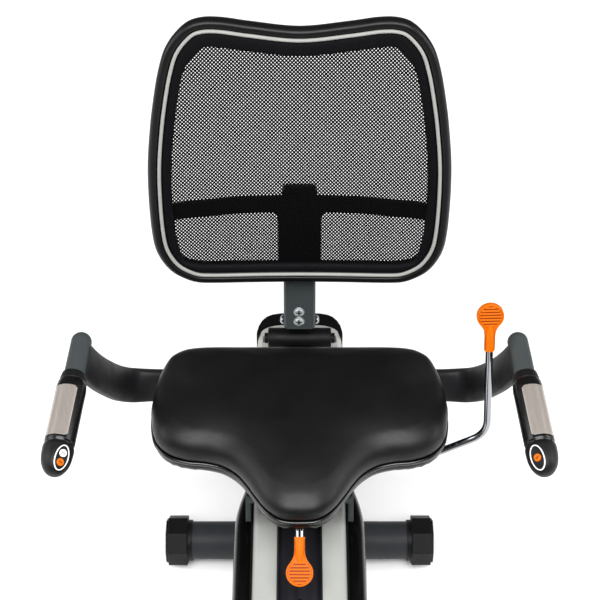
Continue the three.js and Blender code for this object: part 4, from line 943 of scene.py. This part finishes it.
def arm_shape():
    """The flat oval arm: centre, and the direction of its height, at each station."""
    stations = np.array([
        (0, 158, 400, 0, 0, 1), (100, 158, 400, 0, 0.05, 1), (205, 157, 400, 0, 0.22, 1),
        (235, 156, 400, 0, 0.36, 0.95), (258, 149, 408, 0, 0.5, 0.87), (275, 125, 439, 0, 0.68, 0.72),
        (289, 84, 499, 0, 0.82, 0.5), (299, 51, 553, -0.05, 0.93, 0.32),
        (309, 34, 594, -0.1, 0.98, 0.2)], float)
    rows = spline(stations, 90)
    along_height, along_thickness = circle(36).T[:, :, None]
    squared = np.sign(along_thickness) * np.abs(along_thickness) ** 0.5
    rings = []
    for row, tangent in zip(rows, np.gradient(rows[:, :3], axis=0)):
        across = unit(np.cross(tangent, row[3:]))
        upright = unit(np.cross(across, tangent))
        rings.append(row[:3] + ARM_HALF * along_height * upright
                     + ARM_HALF_THICK * squared * across)
    return loft(rings)


def make_seat_frame():
    dome = [(-14.2 * math.cos(a), HANDLE_R * math.sin(a)) for a in np.linspace(0.05, 1.57, 9)]
    tube = on_handle(0, dome + [(GRIP_TO - 6, HANDLE_R)], 40)
    bearer = [(-64, 397.3), (154, 397.3), (154, 424), (-84, 424), (-84, 413)]
    half = join_shapes(tube, prism(bearer, (54, 76)),
                       box_shape((46, 54.5), (-84, -56), (398, 424)))
    bridge = box_shape((-60, 60), (30, 60), (402, 424))
    beam = [(158, 382), (226, 376), (262, 356), (278, 358), (278, 376), (256, 378), (228, 397),
            (158, 404)]
    horn = [(268, 378), (288, 374), (289, 404), (281, 434), (273, 438), (265, 438.4), (260.6, 432),
            (264, 413), (270, 394)]
    tongue = join_shapes(prism(beam, TONGUE), prism(horn, TONGUE))
    make_piece("handle_tubes", join_shapes(both_sides(half), bridge), "slate_paint", "seat",
               ["seat_frame"], sharp=36)
    # Painted shade: the arms take a darker copy of the slate paint, for the shade on their faces.
    make_piece("seat_arms", both_sides(arm_shape()), "dark_paint", "seat", sharp=60)
    make_piece("post_horn", tongue, "satin_black", "seat", sharp=36, bevel=1.0)
    drum = turned(softened(51, 17, 2.4), REAR_TUBE_AT, ACROSS, 64)
    plugs = turned(softened(57, 8.5, 1.5), REAR_TUBE_AT, ACROSS, 40)
    make_piece("rear_tube", join_shapes(drum, plugs), "satin_black", "seat", sharp=40)


def on_handle(start, profile, sides):
    """A turned solid on the handle's axis; its profile is measured from a start along it."""
    return turned([(start + d, r) for d, r in profile], HANDLE_START, HANDLE_AXIS, sides)


def grip_shape():
    length = GRIP_TO - GRIP_FROM
    return on_handle(GRIP_FROM, [
        (13.5, 15.6), (14, 19.2), (16, 20.1), (22, 21.1), (26, GRIP_R), (length - 6, GRIP_R),
        (length - 4, GRIP_R - 0.3), (length - 2.6, GRIP_R - 1.6), (length - 0.4, GRIP_R - 1.8)], 48)


def collar_shape():
    """The sleeve's matte end: a flared collar with fine rings."""
    profile = [(0, 15.6), (0.6, 16.6)]
    for i in range(6):
        start, radius = 1.2 + 2 * i, 16.9 + 0.36 * i
        profile += [(start, radius), (start + 0.5, radius + 0.45), (start + 1.3, radius + 0.5),
                    (start + 1.7, radius + 0.05)]
    return on_handle(GRIP_FROM, profile + [(13.4, 18.6), (13.6, 15.6)], 48)


def plate_shape():
    """The curved metal plate with round corners, let into the grip's outer side."""
    low, high, spread, corner = SENSOR_FROM + 0.5, SENSOR_TO - 0.5, math.radians(50), 4.0
    rows = []
    for distance in spline([(low,), (low + 1,), (low + 3,), (low + 6,), (120,), (high - 6,),
                            (high - 3,), (high - 1,), (high,)], 26)[:, 0]:
        gap = max(0.0, corner - min(distance - low, high - distance))
        reach = spread - (corner - math.sqrt(max(0.0, corner ** 2 - gap ** 2))) / GRIP_R
        angles = np.linspace(-reach, reach, 24)[:, None]
        faces_out = np.cos(angles) * PLATE_OUT + np.sin(angles) * PLATE_SIDE
        centre = HANDLE_START + HANDLE_AXIS * distance
        outer = centre + faces_out * (GRIP_R + 0.45)
        inner = centre + faces_out[::-1] * (GRIP_R - 1.0)
        rows.append(np.vstack([outer, inner]))
    return loft(rows)


def cap_shape():
    """The end cap, flattened where the button panel lies."""
    profile = spline([(-0.6, 19.9), (0.6, 21), (3, 21.9), (12, 22), (20, 21.3), (27, 19.8),
                      (33, 17.4), (38, 14.3), (42, 10.4), (44.4, 6), (45.4, 0.6)], 70)
    points, faces = on_handle(GRIP_TO, profile, 96)
    local = points - PANEL_CENTRE
    along, side, up = (local @ axis for axis in (PANEL_ALONG, PANEL_SIDE, PANEL_UP))
    reach = np.hypot(along / (PANEL_LENGTH + 0.8), side / (PANEL_WIDTH + 0.8))
    level = np.where(reach < 1, 0, 12 * np.abs(reach - 1) ** 1.3)
    press = np.where((up > 0) & (reach < 1.8), np.maximum(0, up - level), 0)
    return points - press[:, None] * PANEL_UP, faces


def oval_ring(half_long, half_wide, thickness):
    """A flat raised ring on the button panel."""
    section = ((0, -0.8), (0, 0.15), (0.3, 0.4), (thickness - 0.3, 0.4), (thickness, 0.15),
               (thickness, -0.8))
    return loft([[on_panel((half_long - shrink) * u, (half_wide - shrink) * v, lift)
                  for shrink, lift in section] for u, v in circle(64)], closed=True)


def oval_plate(half_long, half_wide):
    """The panel's floor inside the ring."""
    levels = ((1.0, -0.8), (1.0, 0.0), (0.97, 0.12), (0.5, 0.14), (0.02, 0.14))
    return loft([[on_panel(half_long * share * u, half_wide * share * v, lift)
                  for u, v in circle(56)] for share, lift in levels])


def button_shape(along):
    """A domed push button."""
    profile = [(-7, 5.4), (0.3, 5.4), (0.7, 5.3), (1.0, 4.9), (1.2, 4.0), (1.3, 2.4), (1.35, 0.1)]
    return turned(profile, on_panel(along), PANEL_UP, 40)


def dash_shape(along, half_long, half_wide):
    """A short slanting bar raised on a button."""
    corners = rounded([(-half_long, -half_wide), (half_long, -half_wide), (half_long, half_wide),
                       (-half_long, half_wide)], half_wide * 0.9)
    return loft([[on_panel(along + 0.35 * u + 0.94 * v, 0.35 * v - 0.94 * u, height)
                  for u, v in corners * share]
                 for height, share in ((1.0, 1.0), (1.45, 1.0), (1.6, 0.85))])


def make_grips():
    for side, flip in (("left", unchanged), ("right", mirrored)):
        for name, shape, look, slot, stands_for, sharp, bevel in (
                ("grip_sleeve", grip_shape(), "grip_gloss", "rubber", "grip", 45, 0),
                ("grip_collar", collar_shape(), "matte_black", "rubber", None, 50, 0),
                ("pulse_plate", plate_shape(), "brushed", "brushed", "pulse_sensor", 45, 0.25),
                ("grip_end", cap_shape(), "matte_black", "matte_black", "grip_cap", 60, 0),
                ("panel_ring", oval_ring(18.2, 10.2, 1.5), "white", "white", None, 50, 0),
                ("panel_plate", oval_plate(16.6, 8.6), "panel_grey", "matte_black", None, 50, 0)):
            replaced = [f"{stands_for}_{side}"] if stands_for else ()
            make_piece(f"{name}_{side}", flip(shape), look, "seat", replaced, sharp, bevel)
    add_button("button_left", "push_button_left", 0, "orange", unchanged)
    add_button("button_right_upper", "push_button_upper", -BUTTON_PAIR, "white", mirrored)
    add_button("button_right_lower", "push_button_lower", BUTTON_PAIR, "orange", mirrored)


def add_button(node, name, along, look, flip):
    make_piece(name, flip(button_shape(along)), look, node, [node], sharp=50)
    make_piece(f"{name}_mark", flip(dash_shape(along, 2.8, 0.6)), "panel_grey", node,
               sharp=50)


# ---- Levers ----

SIDE_BEND = np.array([275, 6, 463.0])
SIDE_HEAD = np.array([271, 49, 597.0])
FRONT_BASE = np.array([0, -150, 422.0])
FRONT_DIRECTION = np.array([0, -math.cos(0.62), -math.sin(0.62)])
PADDLE_R = 19.4
RIB_STEP = 4.7


def paddle_places(base, direction):
    """A function from (across, along, out of the face) on a paddle to the layout."""
    along = unit(direction)
    side = unit(np.cross(along, [0, -1, 1]))
    facing = np.cross(side, along)
    return lambda points: [base + side * u + along * v + facing * w for u, v, w in points]


def paddle_rib(to_layout, v, half_length, section):
    return loft([to_layout([(u, v + dv, w) for dv, w in section])
                 for u in (-half_length, half_length)])


def paddle_shape(base, direction, length):
    """A flat handle with a round head, a rim, ribs across the head and a round neck."""
    to_layout = paddle_places(base, direction)
    head_at = length - PADDLE_R
    head = [(PADDLE_R * math.cos(a), head_at + PADDLE_R * math.sin(a))
            for a in np.radians(np.linspace(-44, 224, 44))]
    neck = spline([(-10.6, head_at - 18.5), (-8.4, head_at - 24), (-7.6, head_at - 31), (-7.3, 3)],
                  16).tolist()
    foot = [(-6.4, 0.4), (6.4, 0.4)]
    outline = np.array(head + neck + foot + [(-u, v) for u, v in reversed(neck)])
    centre = np.array([0, head_at - 8.0])
    rings = []
    for shrink, w in ((1.4, -4.8), (0.4, -4.3), (0, -3.2), (0, 3.6), (0.4, 4.6), (1.2, 5.0), (2.2, 4.7),
                      (2.9, 3.3)):
        pull = outline - centre
        pull *= 1 - shrink / lengths(pull)
        rings.append(to_layout([(u, v, w) for u, v in centre + pull]))
    stem = to_layout([(0, v, 0) for v in (0.4, 12, head_at - 26, head_at - 14)])
    shapes = [loft(rings), sweep(stem, [7.6, 7.6, 7.0, 4.6], 32)]
    rib = [(-1.5, 3.2), (-1.35, 4.3), (-0.8, 4.8), (0.8, 4.8), (1.35, 4.3), (1.5, 3.2)]
    for dv in RIB_STEP * np.arange(-3, 4):
        half_length = math.sqrt((PADDLE_R - 3.6) ** 2 - dv ** 2)
        shapes.append(paddle_rib(to_layout, head_at + dv, half_length, rib))
    return join_shapes(*shapes)


def rib_painted_shade(base, direction, length):
    """Painted shade: darker orange bars on the floor of the grooves between a paddle's ribs."""
    to_layout = paddle_places(base, direction)
    bar = ((-0.8, 3.2), (0.8, 3.2), (0.8, 3.8), (-0.8, 3.8))
    bars = []
    for dv in RIB_STEP * (np.arange(-4, 4) + 0.5):
        half_length = math.sqrt(max(9.0, (PADDLE_R - 4.4) ** 2 - dv ** 2))
        bars.append(paddle_rib(to_layout, length - PADDLE_R + dv, half_length, bar))
    return join_shapes(*bars)


def make_paddle(name, base, direction, length, body, node):
    make_piece(f"{name}_paddle", paddle_shape(base, direction, length), "orange", body,
               [node], sharp=34)
    # Painted shade in the grooves between the ribs.
    make_piece(f"{name}_grooves", rib_painted_shade(base, direction, length), "orange_shade", body,
               sharp=40)


def make_levers():
    direction = unit(SIDE_HEAD - SIDE_BEND)
    rod = rounded([(50, 6, 411), (192, 6, 411), SIDE_BEND, SIDE_HEAD + 22 * direction], 24, 12, False)
    make_piece("recline_rod", sweep(rod, 5.4), "chrome", "side_lever",
               ["side_lever_rod"], sharp=50)
    make_paddle("recline", SIDE_HEAD, direction, 75, "side_lever", "side_lever_paddle")
    wires = []
    for x in (-3.1, 3.1):
        base = FRONT_BASE * [0, 1, 1] + [x, 0, 0]
        points = [(x, -70, 411), (x, -108, 421), base - 13.5 * FRONT_DIRECTION,
                  base + 20 * FRONT_DIRECTION]
        wires.append(sweep(rounded(points, 8, 8, False), 1.9, 12))
    bar = turned(softened(53, 4, 1), (0, -70, 411), ACROSS, 24)
    web = box_shape((-3, 3), (-100, -70), (410, 415))
    make_piece("slide_release_wires", join_shapes(*wires, bar, web), "chrome", "front_lever",
               ["front_lever_rod"], sharp=45)
    make_paddle("slide_release", FRONT_BASE, FRONT_DIRECTION, 70, "front_lever",
                "front_lever_paddle")


# ---- Rail and rear end ----

RAIL_FRONT, RAIL_REAR = -470, 284


def make_rail():
    lip = spline([(70, 314), (69.6, 318.5), (68, 323), (62.5, 327.8), (54, 329.9), (45, 330.1),
                  (37.5, 329), (34.6, 327.6), (33.6, 326.4)], 26)
    outline = with_mirror([(0, 268), (67, 268), (69.2, 268.8), (70, 271), *lip.tolist(),
                           (33.5, 303), (0, 303)])
    beam = loft([[(x, y, z) for x, z in outline] for y in (RAIL_FRONT, RAIL_REAR)])
    make_piece("rail_beam", beam, "silver", "frame", ["seat_rail"], sharp=35)
    # Painted shade: a thin black sheet on the groove's floor under the channel, where shade falls.
    floor_shade = box_shape((-31, 31), (RAIL_FRONT + 2, RAIL_REAR - 2), (302.9, 303.2))
    make_piece("channel_floor_shade", floor_shade, "satin_black", "frame")
    make_cover(1, "left")
    make_cover(-1, "right")


def make_cover(sign, side):
    """One glossy side cover: a swept section that swells and then closes towards the rear."""
    plan = spline([(-486, 78), (-470, 80), (-440, 87), (-410, 93.5), (-380, 97.2), (-280, 98.8),
                   (-180, 99), (-100, 99), (-40, 98), (-8, 93), (20, 85), (42, 79), (58, 73),
                   (62, 71.4)], 90)
    rings = []
    for y, out in plan:
        shoulder = min(out - 71, 15)
        section = rounded([(70.7, 236), (out - 0.66 * shoulder, 236), (out, 251), (out, 305),
                           (out - 0.25 * shoulder, 316), (out - 0.75 * shoulder, 322),
                           (70.7, 322)], 5)
        rings.append([(sign * x, y, z) for x, z in section])
    make_piece(f"rail_cover_{side}", loft(rings), "gloss_black", "frame",
               [f"side_cover_{side}"], sharp=55)
    low_head = [(-0.6, 4.4), (0.5, 4.4), (1.0, 3.9), (1.2, 2.4), (0.7, 2.0), (0.5, 0.1)]
    for index, (out, y) in enumerate([(95.4, -400), (98.4, -230), (98.4, -60)], 1):
        screw = turned(low_head, (sign * out, y, 272), (sign, 0, 0), 24)
        make_piece(f"cover_screw_{side}_{index}", screw, "black_steel", "frame",
                   sharp=40)


def make_rear_end():
    drum = turned(softened(48.4, 18, 2.2), (0, 320, 306), ACROSS, 56)
    axle = turned(softened(59.8, 7.2, 1.2), (0, 320, 312), ACROSS, 32)
    make_piece("lift_roller", join_shapes(drum, axle), "grip_gloss", "frame",
               ["rear_lift_handle"], sharp=40)


def make_stabilizer_tubes():
    for node, y in (("rear_stabilizer", 122), ("front_stabilizer", -1130)):
        points, faces = turned([(-192, 29.5), (-192, 31.4), (-191.4, 32), (191.4, 32), (192, 31.4),
                                (192, 29.5), (-192, 29.5)], (0, y, 40), ACROSS, 64)
        # Painted shade: the tubes take a darker copy of the slate paint.
        make_piece(f"{node}_tube", (points, faces[:-2]), "tube_paint", "frame",
                   [node], sharp=40)


# ---- CAD pieces that keep their shape ----

POLISHED = {
    "slate_paint": "main_frame console_mast front_handlebar seat_carriage",
    "channel_black": "rail_channel",
    "silver": "rear_arch",
    "gloss_black": "rear_bumper housing_*",
    "black_steel": "brake_arm crank_arm_*",
    "matte_black": "drive_pulley idler_pulley tension_motor pedal_[lr]* console_body",
    "rubber": "*_foot_cap_* drive_belt pedal_strap_*",
    "tyre": "transport_wheel_*",
    "alloy": "crank_axle flywheel_spindle",
    "iron": "flywheel",
    "screen": "console_screen",
    "orange": "console_dial",
    "chrome": "pivot_bolt",
}


def polish_nodes():
    for look, patterns in POLISHED.items():
        for pattern in patterns.split():
            for node in fnmatch.filter(NODES, pattern):
                polish(node, look)


add_camera()
add_lights()
make_plain_looks()
make_special_looks()
add_floor()
make_seat()
make_back()
make_seat_frame()
make_grips()
make_levers()
make_rail()
make_rear_end()
make_stabilizer_tubes()
polish_nodes()
